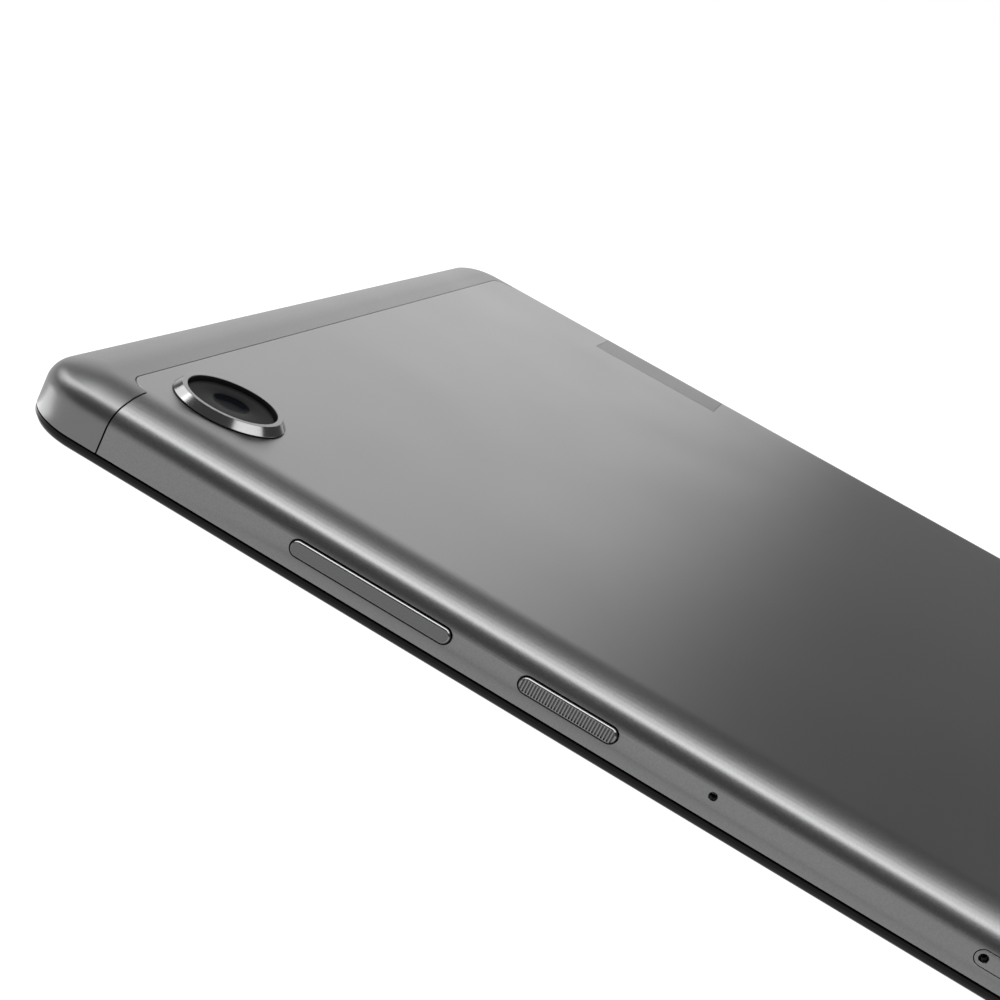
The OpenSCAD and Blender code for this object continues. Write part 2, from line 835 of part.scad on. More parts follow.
module reader_contacts() {
    color("gold") for (k = [0:contact_count - 1])
        translate([tray_left + tray_rim + 1.2 + k * 1.1, tray_end_y - 8, key_z + tray_t / 2 + 0.04])
            cube([0.6, 4, main_z - reader_wall - key_z - tray_t / 2 - 0.04]);
}

module eject_rod() {
    color("silver") translate([rod_x, rod_front_y, key_z]) {
        round_y(rod_r, rod_end_y - rod_front_y);
        translate([0, rod_end_y - rod_front_y, 0]) sphere(rod_r);
    }
}

module eject_lever() {
    color("silver") difference() {
        union() {
            box([pivot_x - lever_arm - 0.6, pivot_y - lever_half, key_z - lever_t / 2],
                [pivot_x + lever_reach, pivot_y + lever_half, key_z + lever_t / 2]);
            translate([pivot_x, pivot_y, key_z - lever_t / 2]) cylinder(r = 1.0, h = lever_t);
        }
        translate([pivot_x, pivot_y, key_z - lever_t]) cylinder(r = pivot_r + pivot_gap, h = 2 * lever_t);
    }
}

// ---- boards ----

head_far = from_dock(16);

module screw_hole(at) {
    translate([at[0], at[1], plate_top]) cylinder(r = screw_r + 0.15, h = body_t);
}

module main_board() {
    color("darkgreen") difference() {
        translate([0, 0, main_z]) linear_extrude(board_t) polygon([
            [from_end(board_start), from_keys(3.6)], [from_end(136), from_keys(3.6)],
            [from_end(136), from_keys(24)], [from_end(70), from_keys(24)],
            [from_end(70), head_far], [from_end(board_start), head_far]
        ]);
        for (at = main_screws) screw_hole(at);
    }
}

shield_top = inner_z - 0.2;
shield_t = 0.2;
shields = [
    [[from_end(board_start + 4), from_keys(30)], [from_end(64), from_keys(70)]],
    [[from_end(board_start + 4), from_keys(74)], [from_end(64), from_dock(44)]],
    [[from_end(75), from_keys(7)], [from_end(110), from_keys(22)]]
];

module shield_cans() {
    color("silver") for (s = shields) difference() {
        box([s[0][0], s[0][1], main_top], [s[1][0], s[1][1], shield_top]);
        box([s[0][0] + shield_t, s[0][1] + shield_t, main_top - 1],
            [s[1][0] - shield_t, s[1][1] - shield_t, shield_top - shield_t]);
    }
}

// Each chip: its corner and its size in plan
chips = [
    [from_end(30), from_keys(34), 13, 13], [from_end(47), from_keys(34), 11, 13],
    [from_end(30), from_keys(52), 9, 9], [from_end(44), from_keys(54), 12, 10],
    [from_end(30), from_keys(76), 7, 7], [from_end(42), from_keys(76), 9, 7],
    [from_end(80), from_keys(10), 8, 8], [from_end(94), from_keys(10), 6, 6]
];
chip_t = 0.75;

module main_chips() {
    color("black") for (c = chips) translate([c[0], c[1], main_top]) cube([c[2], c[3], chip_t]);
}

module heat_spreader() {
    color("darkgray") box([from_end(board_start + 2), from_keys(32), inner_z - 0.05],
        [from_end(66), from_keys(68), inner_z]);
}

usb_front = 1.2;
usb_depth = 7.4;
usb_wall = 0.3;

module sub_board() {
    color("darkgreen") difference() {
        box([from_foot(24), -22, sub_z], [from_foot(3.2), 22, sub_top]);
        box([from_foot(usb_front + usb_depth + 0.6), -4.8, sub_z - 1], [from_foot(2), 4.8, sub_top + 1]);
        for (at = sub_screws) screw_hole(at);
    }
}

module usb_shell() {
    color("silver") {
        difference() {
            translate([from_foot(usb_front + usb_depth), 0, usb_z]) slot_x(usb_l, usb_h, usb_depth);
            translate([from_foot(usb_front + usb_depth - 0.4), 0, usb_z])
                slot_x(usb_l - 2 * usb_wall, usb_h - 2 * usb_wall, usb_depth);
        }
        for (s = [-1, 1], d = [4.2, 7.6])
            translate([from_foot(d + 0.5), s > 0 ? usb_l / 2 - 0.3 : -usb_l / 2 - 0.9, sub_top])
                cube([1, 1.2, 0.2]);
    }
}

module usb_tongue() {
    color("black") box([from_foot(usb_front + usb_depth - 0.4), -3.35, usb_z - 0.35],
        [from_foot(usb_front + 0.8), 3.35, usb_z + 0.35]);
}

jack_half = 2.6;
jack_front = jack_boss_in;
jack_step = border_end - 0.2;
jack_end = 16;

module audio_jack() {
    color("black") difference() {
        union() {
            box([from_end(jack_front), jack_y - jack_half, jack_z - 2.0],
                [from_end(jack_step), jack_y + jack_half, jack_z + 2.1]);
            box([from_end(jack_step) - eps, jack_y - jack_half, plate_z + 0.05],
                [from_end(jack_end), jack_y + jack_half, jack_z + 1.8]);
        }
        translate([from_end(jack_front - 1), jack_y, jack_z]) round_x(jack_r, jack_step - jack_front + 1);
        translate([from_end(jack_front), jack_y, jack_z]) round_x(jack_r - 0.25, jack_end - jack_front - 0.8);
    }
}

// ---- battery and flexes ----

cell_start = 74;
cell_side = 27;
cell_gap = 1;
tape_t = 0.1;
cell_z = plate_top + tape_t;
cell_top = inner_z - 0.2;
cell_rows = [cell_side, cell_side + cell_w + cell_gap];

module battery_cells() {
    color("darkslateblue") for (row = cell_rows)
        box([from_end(cell_start), from_keys(row), cell_z],
            [from_end(cell_start + cell_l), from_keys(row + cell_w), cell_top]);
}

module battery_tape() {
    color("white") for (row = cell_rows, d = [8, cell_l - 28])
        box([from_end(cell_start + d), from_keys(row + 6), plate_top],
            [from_end(cell_start + d + 20), from_keys(row + cell_w - 6), cell_z]);
}

module battery_board() {
    color("darkgreen") box([from_end(70.4), from_keys(cell_side + 14), plate_top + 0.1],
        [from_end(cell_start), from_keys(cell_side + 2 * cell_w - 10), main_top]);
}

module battery_lead() {
    color("goldenrod") box([from_end(66), from_keys(70.6), main_top],
        [from_end(cell_start - 0.4), from_keys(73.4), main_top + flex_t]);
}

flex_low_y = 10;
flex_high_y = 21;
flex_z = inner_z - 0.06 - flex_t;

module main_flex() {
    color("goldenrod") {
        box([from_end(68), flex_low_y, flex_z], [from_foot(23), flex_high_y, flex_z + flex_t]);
        box([from_end(68), flex_low_y, main_top], [from_end(68) + flex_t, flex_high_y, flex_z + eps]);
        box([from_foot(23) - flex_t, flex_low_y, sub_top], [from_foot(23), flex_high_y, flex_z + eps]);
    }
}

// ---- speakers and antennas ----

speaker_l = 30;
speaker_top_z = plate_top + 3.05;
mesh_l = 26;

// A speaker box at the camera end, with its nose behind the row of holes
module speaker_box(y) {
    box([from_end(3.0), y - speaker_l / 2, plate_top + 0.05], [from_end(11.5), y + speaker_l / 2, speaker_top_z]);
    box([from_end(1.2), y - mesh_l / 2 - 0.5, plate_top + 0.05], [from_end(3.0) + eps, y + mesh_l / 2 + 0.5, key_z + 1.1]);
}

module speaker_mesh(y) {
    box([from_end(1.05), y - mesh_l / 2, key_z - 0.6], [from_end(1.2), y + mesh_l / 2, key_z + 0.9]);
}

module top_speaker() {
    color("black") speaker_box(top_speaker_y);
}

module bottom_speaker() {
    color("black") mirror([1, 0, 0]) speaker_box(bottom_speaker_y);
}

module speaker_meshes() {
    color("gray") {
        speaker_mesh(top_speaker_y);
        mirror([1, 0, 0]) speaker_mesh(bottom_speaker_y);
    }
}

antenna_t = 0.12;
antenna_z = inner_z - tongue_t - antenna_t;

module antenna_strip(low_y, high_y) {
    box([from_end(cap_depth - 1.5), low_y, antenna_z], [from_end(cap_depth + 3.4), high_y, antenna_z + antenna_t]);
}

module top_antenna() {
    color("goldenrod") antenna_strip(-24, 32);
}

module bottom_antenna() {
    color("goldenrod") mirror([1, 0, 0]) antenna_strip(from_keys(25), -8);
}

// ---- dock contacts ----

dock_face = 0.25;
dock_back = plate_in - 0.05;
dock_pads = 4;
dock_pitch = 2.8;
dock_pad_r = 0.7;

module dock_pad_row(r, low, high) {
    for (k = [0:dock_pads - 1])
        translate([(k - (dock_pads - 1) / 2) * dock_pitch, from_dock(high), dock_z]) round_y(r, high - low);
}

module dock_housing() {
    color("black") difference() {
        union() {
            translate([0, from_dock(dock_back), dock_z]) slot_y(dock_l, dock_h, dock_back - dock_face);
            translate([0, from_dock(dock_back), dock_z])
                slot_y(dock_l + 1.6, dock_h - 0.2, dock_back - cover_wall - 0.25);
        }
        dock_pad_row(dock_pad_r + 0.03, -1, dock_back + 1);
    }
}

module dock_contacts() {
    color("gold") dock_pad_row(dock_pad_r, dock_face + 0.1, dock_back);
}

module dock_flex() {
    low = plate_top;
    high = plate_top + flex_t;
    color("goldenrod") {
        box([from_end(60), from_dock(21), low], [from_end(62), from_dock(17), main_z]);
        box([from_end(60), from_dock(18), low], [from_end(63), from_dock(6), high]);
        box([from_end(60), from_dock(6), low], [5, from_dock(4), high]);
        box([-5, from_dock(4) - eps, low], [5, from_dock(dock_back), high]);
        box([-5, from_dock(dock_back + flex_t), low], [5, from_dock(dock_back), dock_z + 0.9]);
    }
}

cover_glass();
glass_adhesive();
touch_film();
display_panel();
backlight();
display_flex();
touch_flex();
front_frame();
mid_plate();
rear_cover();
top_cap();
bottom_cap();
name_plate();
camera_ring();
camera_window();
camera_face();
camera_gasket();
camera_housing();
camera_sensor();
focus_barrel();
focus_lens();
camera_flex();
front_camera();
light_sensor();
volume_key();
power_key();
key_bracket();
key_flex();
volume_domes();
power_dome();
microphone();
microphone_boot();
card_tray();
card_reader();
reader_contacts();
eject_rod();
eject_lever();
main_board();
shield_cans();
main_chips();
heat_spreader();
sub_board();
usb_shell();
usb_tongue();
audio_jack();
main_flex();
battery_cells();
battery_board();
battery_lead();
battery_tape();
top_speaker();
bottom_speaker();
speaker_meshes();
top_antenna();
bottom_antenna();
dock_housing();
dock_contacts();
dock_flex();
board_screws();
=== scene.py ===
"""A slim tablet computer lying on its screen, seen from behind and above its camera corner.

Sizes are in millimetres wherever a name or a docstring says so, and in metres in the scene itself. +Z goes up
out of the rear cover, -X is the camera end, +X the connector end, -Y the side with the keys and +Y the dock side.
"""

import logging
import math
from abc import ABC, abstractmethod
from contextlib import contextmanager
from dataclasses import dataclass
from enum import Enum
from typing import Callable, Iterator

import bmesh
import bpy
from mathutils import Matrix, Vector

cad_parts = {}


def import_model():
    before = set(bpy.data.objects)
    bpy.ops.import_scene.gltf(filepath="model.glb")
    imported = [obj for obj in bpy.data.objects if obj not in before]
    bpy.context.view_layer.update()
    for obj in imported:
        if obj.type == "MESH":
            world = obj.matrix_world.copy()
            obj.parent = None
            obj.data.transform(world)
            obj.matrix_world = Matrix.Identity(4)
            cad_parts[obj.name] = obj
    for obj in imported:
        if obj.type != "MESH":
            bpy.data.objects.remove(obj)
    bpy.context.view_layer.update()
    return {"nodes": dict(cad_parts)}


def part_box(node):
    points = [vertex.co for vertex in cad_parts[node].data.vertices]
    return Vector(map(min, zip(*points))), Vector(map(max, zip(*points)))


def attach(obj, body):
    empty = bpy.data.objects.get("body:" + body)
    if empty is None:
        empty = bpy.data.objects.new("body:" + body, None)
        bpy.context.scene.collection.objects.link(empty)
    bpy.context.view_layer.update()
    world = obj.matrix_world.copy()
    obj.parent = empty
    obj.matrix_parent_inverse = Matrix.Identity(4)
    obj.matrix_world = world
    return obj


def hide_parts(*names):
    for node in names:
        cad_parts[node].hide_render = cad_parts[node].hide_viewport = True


MM = 0.001
SAME_PLACE = 1e-7  # metres between two places that count as one
PAST = 1.0  # how far outside the form a cutter starts
OVERLAP = 0.01  # how far solids that are to be joined run into each other
LOG = logging.getLogger("tablet")
Point = tuple[float, float, float]
Flat = tuple[float, float]
Colour = tuple[float, float, float]


def mm(*values: float) -> Vector:
    """Turns millimetres into a vector in metres."""
    return Vector([value * MM for value in values])


def lies_on(spot: Flat, line: list[Flat], within: float = 0.006) -> bool:
    """Whether a flat point lies on an open line of points, within a small distance."""
    place = Vector(spot)
    for here, there in zip(map(Vector, line), map(Vector, line[1:])):
        run = there - here
        share = max(0.0, min(1.0, (place - here).dot(run) / run.length_squared))
        if (here + run * share - place).length < within:
            return True
    return False


class Toward(Enum):
    """Which way a plate's local Z points in the finished object, as its turn about X, Y and Z."""

    UP = (0.0, 0.0, 0.0)
    DOWN = (math.pi, 0.0, 0.0)
    KEYS = (math.pi / 2, 0.0, 0.0)
    FOOT = (math.pi / 2, 0.0, math.pi / 2)
    DOCK = (math.pi / 2, 0.0, math.pi)
    HEAD = (math.pi / 2, 0.0, -math.pi / 2)


# ---- The bench: shaping meshes ----


class Workpiece:
    """A mesh on the bench, shaped with edit tools and modifiers. All its sizes are in millimetres."""

    def __init__(self, name: str) -> None:
        """Takes the primitive that was just added and gives it its name and its place."""
        self.thing = bpy.context.active_object
        self.thing.name = name
        self.thing.data.name = name
        bpy.ops.object.transform_apply(location=True, rotation=True, scale=True)

    @staticmethod
    def clear_bench() -> None:
        """Leaves nothing selected, so that an operator acts only on what is picked next."""
        for thing in bpy.context.selected_objects:
            thing.select_set(False)

    def hold(self) -> None:
        """Picks this piece alone and makes it the active one."""
        self.clear_bench()
        self.thing.select_set(True)
        bpy.context.view_layer.objects.active = self.thing

    @classmethod
    def block(cls, name: str, low: Point, high: Point) -> "Workpiece":
        """Adds a block between two corners.

        Args:
            name: The piece's name.
            low: Its lowest corner.
            high: Its highest corner.

        Returns:
            The new piece.
        """
        cls.clear_bench()
        first, last = mm(*low), mm(*high)
        bpy.ops.mesh.primitive_cube_add(size=1, location=(first + last) / 2, scale=last - first)
        return cls(name)

    @classmethod
    def plate(cls, name: str, size: Flat, radius: float, steps: int = 12) -> "Workpiece":
        """Adds a flat plate with rounded corners, centred at the origin and facing up.

        Args:
            name: The piece's name.
            size: Its length along X and its width along Y.
            radius: The radius of its corners; at half the width, the ends are round.
            steps: How many edges make one corner.

        Returns:
            The new piece.
        """
        cls.clear_bench()
        bpy.ops.mesh.primitive_plane_add(size=1, location=(0, 0, 0))
        bpy.context.active_object.scale = (size[0] * MM, size[1] * MM, 1)
        piece = cls(name)
        with piece.editing("VERT"):
            bpy.ops.mesh.select_all(action="SELECT")
            bpy.ops.mesh.bevel(offset=radius * MM * 0.99999, segments=steps, profile=0.5, affect="VERTICES")
        piece.merge()
        piece.face_everything_up()
        return piece

    @classmethod
    def disc(cls, name: str, radius: float, steps: int = 48) -> "Workpiece":
        """Adds a flat disc, centred at the origin and facing up.

        Args:
            name: The piece's name.
            radius: Its radius.
            steps: How many edges make its rim.

        Returns:
            The new piece.
        """
        cls.clear_bench()
        bpy.ops.mesh.primitive_circle_add(vertices=steps, radius=radius * MM, fill_type="NGON",
                                          location=(0, 0, 0))
        piece = cls(name)
        piece.face_everything_up()
        return piece

    @classmethod
    def wire(cls, name: str, points: list[Point]) -> "Workpiece":
        """Adds one vertex, extrudes it from point to point, and joins the two ends.

        Args:
            name: The piece's name.
            points: The points in order.

        Returns:
            The new piece, all edges and no faces.
        """
        cls.clear_bench()
        start = mm(*points[0])
        bpy.ops.mesh.primitive_plane_add(size=MM, location=start)
        piece = cls(name)
        with piece.editing("VERT"):
            bpy.ops.mesh.select_all(action="SELECT")
            bpy.ops.mesh.merge(type="CENTER")
            for here, there in zip(points, points[1:]):
                bpy.ops.mesh.extrude_vertices_move(TRANSFORM_OT_translate={"value": mm(*there) - mm(*here)})
            ends = (start, mm(*points[-1]))
            piece.pick_vertices(lambda at: any((at - end).length < SAME_PLACE for end in ends))
            bpy.ops.mesh.edge_face_add()
        return piece

    @contextmanager
    def editing(self, kind: str = "FACE") -> Iterator[None]:
        """Opens the piece in edit mode for the operators inside the with block.

        Args:
            kind: What is picked: VERT, EDGE or FACE.

        Yields:
            Nothing; the piece is the active mesh meanwhile.
        """
        self.hold()
        bpy.ops.object.mode_set(mode="EDIT")
        bpy.ops.mesh.select_mode(type=kind)
        yield
        bpy.ops.object.mode_set(mode="OBJECT")

    def pick_vertices(self, wanted: Callable[[Vector], bool]) -> None:
        """Picks the vertices whose place is wanted, while the piece is open in edit mode."""
        mesh = bmesh.from_edit_mesh(self.thing.data)
        for face in mesh.faces:
            face.select_set(False)
        for edge in mesh.edges:
            edge.select_set(False)
        for vertex in mesh.verts:
            vertex.select_set(wanted(vertex.co))
        mesh.select_flush(True)
        bmesh.update_edit_mesh(self.thing.data)

    def pick_edges(self, wanted: Callable[[Vector, Vector], bool]) -> None:
        """Picks the edges whose two ends are wanted, while the piece is open in edit mode."""
        mesh = bmesh.from_edit_mesh(self.thing.data)
        chosen = [wanted(edge.verts[0].co, edge.verts[1].co) for edge in mesh.edges]
        for vertex in mesh.verts:
            vertex.select_set(False)
        for edge, yes in zip(mesh.edges, chosen):
            if yes:
                edge.select_set(True)
        mesh.select_flush_mode()
        bmesh.update_edit_mesh(self.thing.data)

    def raised(self, stages: list[Flat]) -> "Workpiece":
        """Builds a solid from a flat plate, stage by stage.

        Args:
            stages: For each stage how far its outline draws in and how far it rises.

        Returns:
            The piece, now closed.
        """
        with self.editing("FACE"):
            bpy.ops.mesh.select_all(action="SELECT")
            for inward, rise in stages:
                if inward == 0:
                    bpy.ops.mesh.extrude_region_move(TRANSFORM_OT_translate={"value": (0, 0, rise * MM)})
                else:
                    bpy.ops.mesh.inset(thickness=inward * MM, depth=rise * MM)
        return self.tidied()

    def spun(self, centre: Flat, steps: int = 96) -> "Workpiece":
        """Turns a wire profile once about an upright line and closes it.

        Args:
            centre: Where the line stands.
            steps: How many steps make the whole turn.

        Returns:
            The piece, now closed.
        """
        with self.editing("VERT"):
            bpy.ops.mesh.select_all(action="SELECT")
            bpy.ops.mesh.spin(steps=steps, angle=math.tau, center=mm(*centre, 0), axis=(0, 0, 1))
        return self.tidied()

    def filled(self, rise: float) -> "Workpiece":
        """Fills a closed flat wire and extrudes it upwards by rise."""
        with self.editing("EDGE"):
            bpy.ops.mesh.select_all(action="SELECT")
            bpy.ops.mesh.edge_face_add()
            bpy.ops.mesh.extrude_region_move(TRANSFORM_OT_translate={"value": (0, 0, rise * MM)})
        return self.tidied()

    def placed(self, at: Point, toward: Toward = Toward.UP) -> "Workpiece":
        """Turns the piece, then moves it to its place, and keeps both in its mesh.

        Args:
            at: Where its origin goes.
            toward: Which way its local Z points.

        Returns:
            The piece.
        """
        self.thing.rotation_euler = toward.value
        self.thing.location = mm(*at)
        self.hold()
        bpy.ops.object.transform_apply(location=True, rotation=True, scale=True)
        return self

    def bevelled(self, wanted: Callable[[Vector, Vector], bool], width: float) -> "Workpiece":
        """Bevels the edges whose two ends are wanted with one narrow face.

        Args:
            wanted: Says whether an edge is taken, from its two ends.
            width: How wide the bevel is.

        Returns:
            The piece.
        """
        with self.editing("EDGE"):
            self.pick_edges(wanted)
            bpy.ops.mesh.bevel(offset=width * MM, segments=1, profile=0.5, affect="EDGES")
        return self

    def repeated(self, count: int, step: Point) -> "Workpiece":
        """Sets the piece out in a row of count, step apart, all in one mesh."""
        row = self.thing.modifiers.new("row", "ARRAY")
        row.count, row.use_relative_offset, row.use_constant_offset = count, False, True
        row.constant_offset_displace = mm(*step)
        self.apply(row)
        return self

    def copied(self, name: str, step: Point = (0.0, 0.0, 0.0), mirrored: bool = False) -> "Workpiece":
        """Copies the piece with a mesh of its own.

        Args:
            name: The copy's name.
            step: How far it is moved.
            mirrored: Whether it is mirrored to the other end of the tablet first.

        Returns:
            The copy.
        """
        self.hold()
        bpy.ops.object.duplicate()
        bpy.context.active_object.scale = (-1 if mirrored else 1, 1, 1)
        bpy.context.active_object.location = mm(*step)
        copy = Workpiece(name)
        return copy.tidied() if mirrored else copy

    def apply(self, modifier: bpy.types.Modifier) -> None:
        """Applies a modifier to the mesh."""
        self.hold()
        bpy.ops.object.modifier_apply(modifier=modifier.name)

    def combined(self, other: "Workpiece", how: str, keep: bool = False) -> "Workpiece":
        """Works another piece into this one.

        Args:
            other: The piece that cuts, joins or trims this one.
            how: DIFFERENCE, UNION or INTERSECT.
            keep: Whether the other piece is still needed afterwards.

        Returns:
            This piece.
        """
        boolean = self.thing.modifiers.new("worked", "BOOLEAN")
        boolean.operation, boolean.object, boolean.solver = how, other.thing, "EXACT"
        self.apply(boolean)
        if not keep:
            other.discard()
        return self

    def cut(self, other: "Workpiece", keep: bool = False) -> "Workpiece":
        """Takes the other piece out of this one."""
        return self.combined(other, "DIFFERENCE", keep)

    def joined(self, other: "Workpiece") -> "Workpiece":
        """Joins the other piece to this one as one solid."""
        return self.combined(other, "UNION")

    def trimmed(self, other: "Workpiece", keep: bool = False) -> "Workpiece":
        """Keeps only what this piece shares with the other."""
        return self.combined(other, "INTERSECT", keep)

    def gathered(self, others: "list[Workpiece]") -> "Workpiece":
        """Takes separate solids into this piece's mesh, as they are."""
        self.hold()
        for other in others:
            other.thing.select_set(True)
        bpy.ops.object.join()
        return self

    def discard(self) -> None:
        """Throws the piece away with its mesh."""
        mesh = self.thing.data
        bpy.data.objects.remove(self.thing)
        bpy.data.meshes.remove(mesh)

    def merge(self, distance: float = 0.0005) -> None:
        """Merges vertices that lie within a distance of each other."""
        with self.editing("VERT"):
            bpy.ops.mesh.select_all(action="SELECT")
            bpy.ops.mesh.remove_doubles(threshold=distance * MM)

    def face_everything_up(self) -> None:
        """Turns a flat piece over if it faces down."""
        with self.editing("FACE"):
            bpy.ops.mesh.select_all(action="SELECT")
            bpy.ops.mesh.normals_make_consistent(inside=False)
            if bmesh.from_edit_mesh(self.thing.data).faces[:][0].normal.z < 0:
                bpy.ops.mesh.flip_normals()

    def tidied(self) -> "Workpiece":
        """Merges doubled vertices and turns every face outwards."""
        self.merge()
        with self.editing("FACE"):
            bpy.ops.mesh.select_all(action="SELECT")
            bpy.ops.mesh.normals_make_consistent(inside=False)
        return self

    def finished(self, body: str, finish: "Finish", slot: str, *stands_for: str, angle: float = 30) -> None:
        """Smooths the piece, dresses it and sets it on its body.

        Args:
            body: The body that it rides on.
            finish: What it is made of.
            slot: Not used.
            *stands_for: The CAD nodes that it replaces.
            angle: Edges sharper than this many degrees stay sharp.
        """
        self.hold()
        bpy.ops.object.shade_smooth_by_angle(angle=math.radians(angle))
        self.thing.data.materials.clear()
        self.thing.data.materials.append(finish.material())
        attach(self.thing, body)
        if stands_for:
            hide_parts(*stands_for)
        LOG.info("%s: %d faces, rides on %s", self.thing.name, len(self.thing.data.polygons), body)


# ---- Shader wiring ----


class Wire:
    """A value or vector that leaves a shader node. Arithmetic on it adds the Math nodes."""

    def __init__(self, graph: "Graph", socket: bpy.types.NodeSocket) -> None:
        """Wraps one output socket of a graph's node."""
        self.graph = graph
        self.socket = socket

    def math(self, operation: str, other: "Wire | float" = 0.0) -> "Wire":
        """Adds one Math node.

        Args:
            operation: What it does.
            other: Its second value.

        Returns:
            Its result.
        """
        return self.graph.node("ShaderNodeMath", {"operation": operation}, {0: self, 1: other})

    def back(self, operation: str, other: "Wire | float") -> "Wire":
        """Adds one Math node with the two values the other way round."""
        return self.graph.node("ShaderNodeMath", {"operation": operation}, {0: other, 1: self})

    def __add__(self, other: "Wire | float") -> "Wire":
        """Adds a value."""
        return self.math("ADD", other)

    def __sub__(self, other: "Wire | float") -> "Wire":
        """Takes a value away."""
        return self.math("SUBTRACT", other)

    def __mul__(self, other: "Wire | float") -> "Wire":
        """Multiplies by a value."""
        return self.math("MULTIPLY", other)

    def __truediv__(self, other: "Wire | float") -> "Wire":
        """Divides by a value."""
        return self.math("DIVIDE", other)

    def __gt__(self, other: "Wire | float") -> "Wire":
        """Is 1 where this is more than the other."""
        return self.math("GREATER_THAN", other)

    def __lt__(self, other: "Wire | float") -> "Wire":
        """Is 1 where this is less than the other."""
        return self.math("LESS_THAN", other)

    def __abs__(self) -> "Wire":
        """Drops the sign."""
        return self.math("ABSOLUTE")

    def __radd__(self, other: float) -> "Wire":
        """Adds this to a number."""
        return self.back("ADD", other)

    def __rsub__(self, other: float) -> "Wire":
        """Takes this away from a number."""
        return self.back("SUBTRACT", other)

    def ramp(self, low: float, high: float, to_low: float = 0.0, to_high: float = 1.0) -> "Wire":
        """Maps a range smoothly onto another and holds it at the ends.

        Args:
            low: Where the change starts.
            high: Where it ends.
            to_low: The value up to low.
            to_high: The value from high on.

        Returns:
            The mapped value.
        """
        sockets = {"Value": self, "From Min": low, "From Max": high, "To Min": to_low, "To Max": to_high}
        return self.graph.node("ShaderNodeMapRange", {"interpolation_type": "SMOOTHSTEP"}, sockets)


class Graph:
    """One material's nodes, around a Principled shader."""

    def __init__(self, name: str) -> None:
        """Starts a material with a Principled shader and its output."""
        self.material = bpy.data.materials.new(name)
        self.material.use_nodes = True
        self.tree = self.material.node_tree
        self.tree.nodes.clear()
        self.shader = self.tree.nodes.new("ShaderNodeBsdfPrincipled")
        output = self.tree.nodes.new("ShaderNodeOutputMaterial")
        self.tree.links.new(self.shader.outputs[0], output.inputs["Surface"])

    def node(self, kind: str, settings: dict[str, object] | None = None,
             sockets: dict[int | str, object] | None = None, result: int | str = 0) -> Wire:
        """Adds a node with its settings, then feeds its sockets.

        Args:
            kind: The node's type.
            settings: Its properties.
            sockets: Its inputs by number, identifier or name, as values or wires.
            result: Which output is wanted, by number, identifier or name.

        Returns:
            That output.
        """
        made = self.tree.nodes.new(kind)
        for key, value in (settings or {}).items():
            setattr(made, key, value)
        for key, value in (sockets or {}).items():
            self.feed(self.find(made.inputs, key), value)
        return Wire(self, self.find(made.outputs, result))

    @staticmethod
    def find(sockets: bpy.types.NodeInputs, key: int | str) -> bpy.types.NodeSocket:
        """Finds a socket by its number, its identifier or its name."""
        if isinstance(key, int):
            return sockets[key]
        for socket in sockets:
            if socket.identifier == key:
                return socket
        return sockets[key]

    def feed(self, socket: bpy.types.NodeSocket, value: object) -> None:
        """Links a wire to a socket, or sets the socket's own value."""
        if isinstance(value, Wire):
            self.tree.links.new(value.socket, socket)
        elif isinstance(value, tuple) and socket.type == "RGBA":
            socket.default_value = (*value, 1.0)
        else:
            socket.default_value = value

    def shade(self, **values: object) -> None:
        """Feeds the shader's own sockets; an underscore stands for a space in a socket's name."""
        for name, value in values.items():
            self.feed(self.shader.inputs[name.replace("_", " ")], value)

    def place(self) -> Wire:
        """Gives the point on the object, in metres."""
        return self.node("ShaderNodeTexCoord", result="Object")

    def axes(self, vector: Wire) -> tuple[Wire, Wire, Wire]:
        """Splits a vector into its X, Y and Z."""
        first = self.node("ShaderNodeSeparateXYZ", sockets={0: vector})
        outputs = first.socket.node.outputs
        return first, Wire(self, outputs[1]), Wire(self, outputs[2])

    def around(self, centre: Flat) -> tuple[Wire, Wire]:
        """Measures from an upright axis.

        Args:
            centre: Where the axis stands, in millimetres.

        Returns:
            The distance from the axis and the height, in metres.
        """
        sockets = {"Vector": self.place(), "Location": (-centre[0] * MM, -centre[1] * MM, 0.0)}
        east, north, height = self.axes(self.node("ShaderNodeMapping", {"vector_type": "POINT"}, sockets))
        return (east * east + north * north).math("SQRT"), height

    def noise(self, size: float, detail: float = 2.0, stretch: Point = (1.0, 1.0, 1.0),
              rough: float = 0.5) -> Wire:
        """Gives soft random values between about 0.3 and 0.7.

        Args:
            size: The size of one blotch in millimetres.
            detail: How much finer detail there is.
            stretch: How much closer the blotches are along X, Y and Z.
            rough: How strong the finer detail is.

        Returns:
            The values.
        """
        spread = self.node("ShaderNodeMapping", sockets={"Vector": self.place(), "Scale": stretch})
        sockets = {"Vector": spread, "Scale": 1000.0 / size, "Detail": detail, "Roughness": rough}
        return self.node("ShaderNodeTexNoise", {"noise_dimensions": "3D"}, sockets, "Fac")

    def mix(self, mask: Wire, low: "Colour | Wire", high: "Colour | Wire") -> Wire:
        """Blends two colours.

        Args:
            mask: 0 for the first colour and 1 for the second.
            low: The first colour.
            high: The second colour.

        Returns:
            The blended colour.
        """
        sockets = {"Factor_Float": mask, "A_Color": low, "B_Color": high}
        return self.node("ShaderNodeMix", {"data_type": "RGBA"}, sockets, "Result_Color")

    def relief(self, height: Wire, depth: float, strength: float = 1.0) -> Wire:
        """Turns a height between 0 and 1 into a relief.

        Args:
            height: The height.
            depth: What a height of 1 stands for, in millimetres.
            strength: How strong the relief is.

        Returns:
            The normal for the shader.
        """
        sockets = {"Height": height, "Distance": depth * MM, "Strength": strength}
        return self.node("ShaderNodeBump", sockets=sockets)


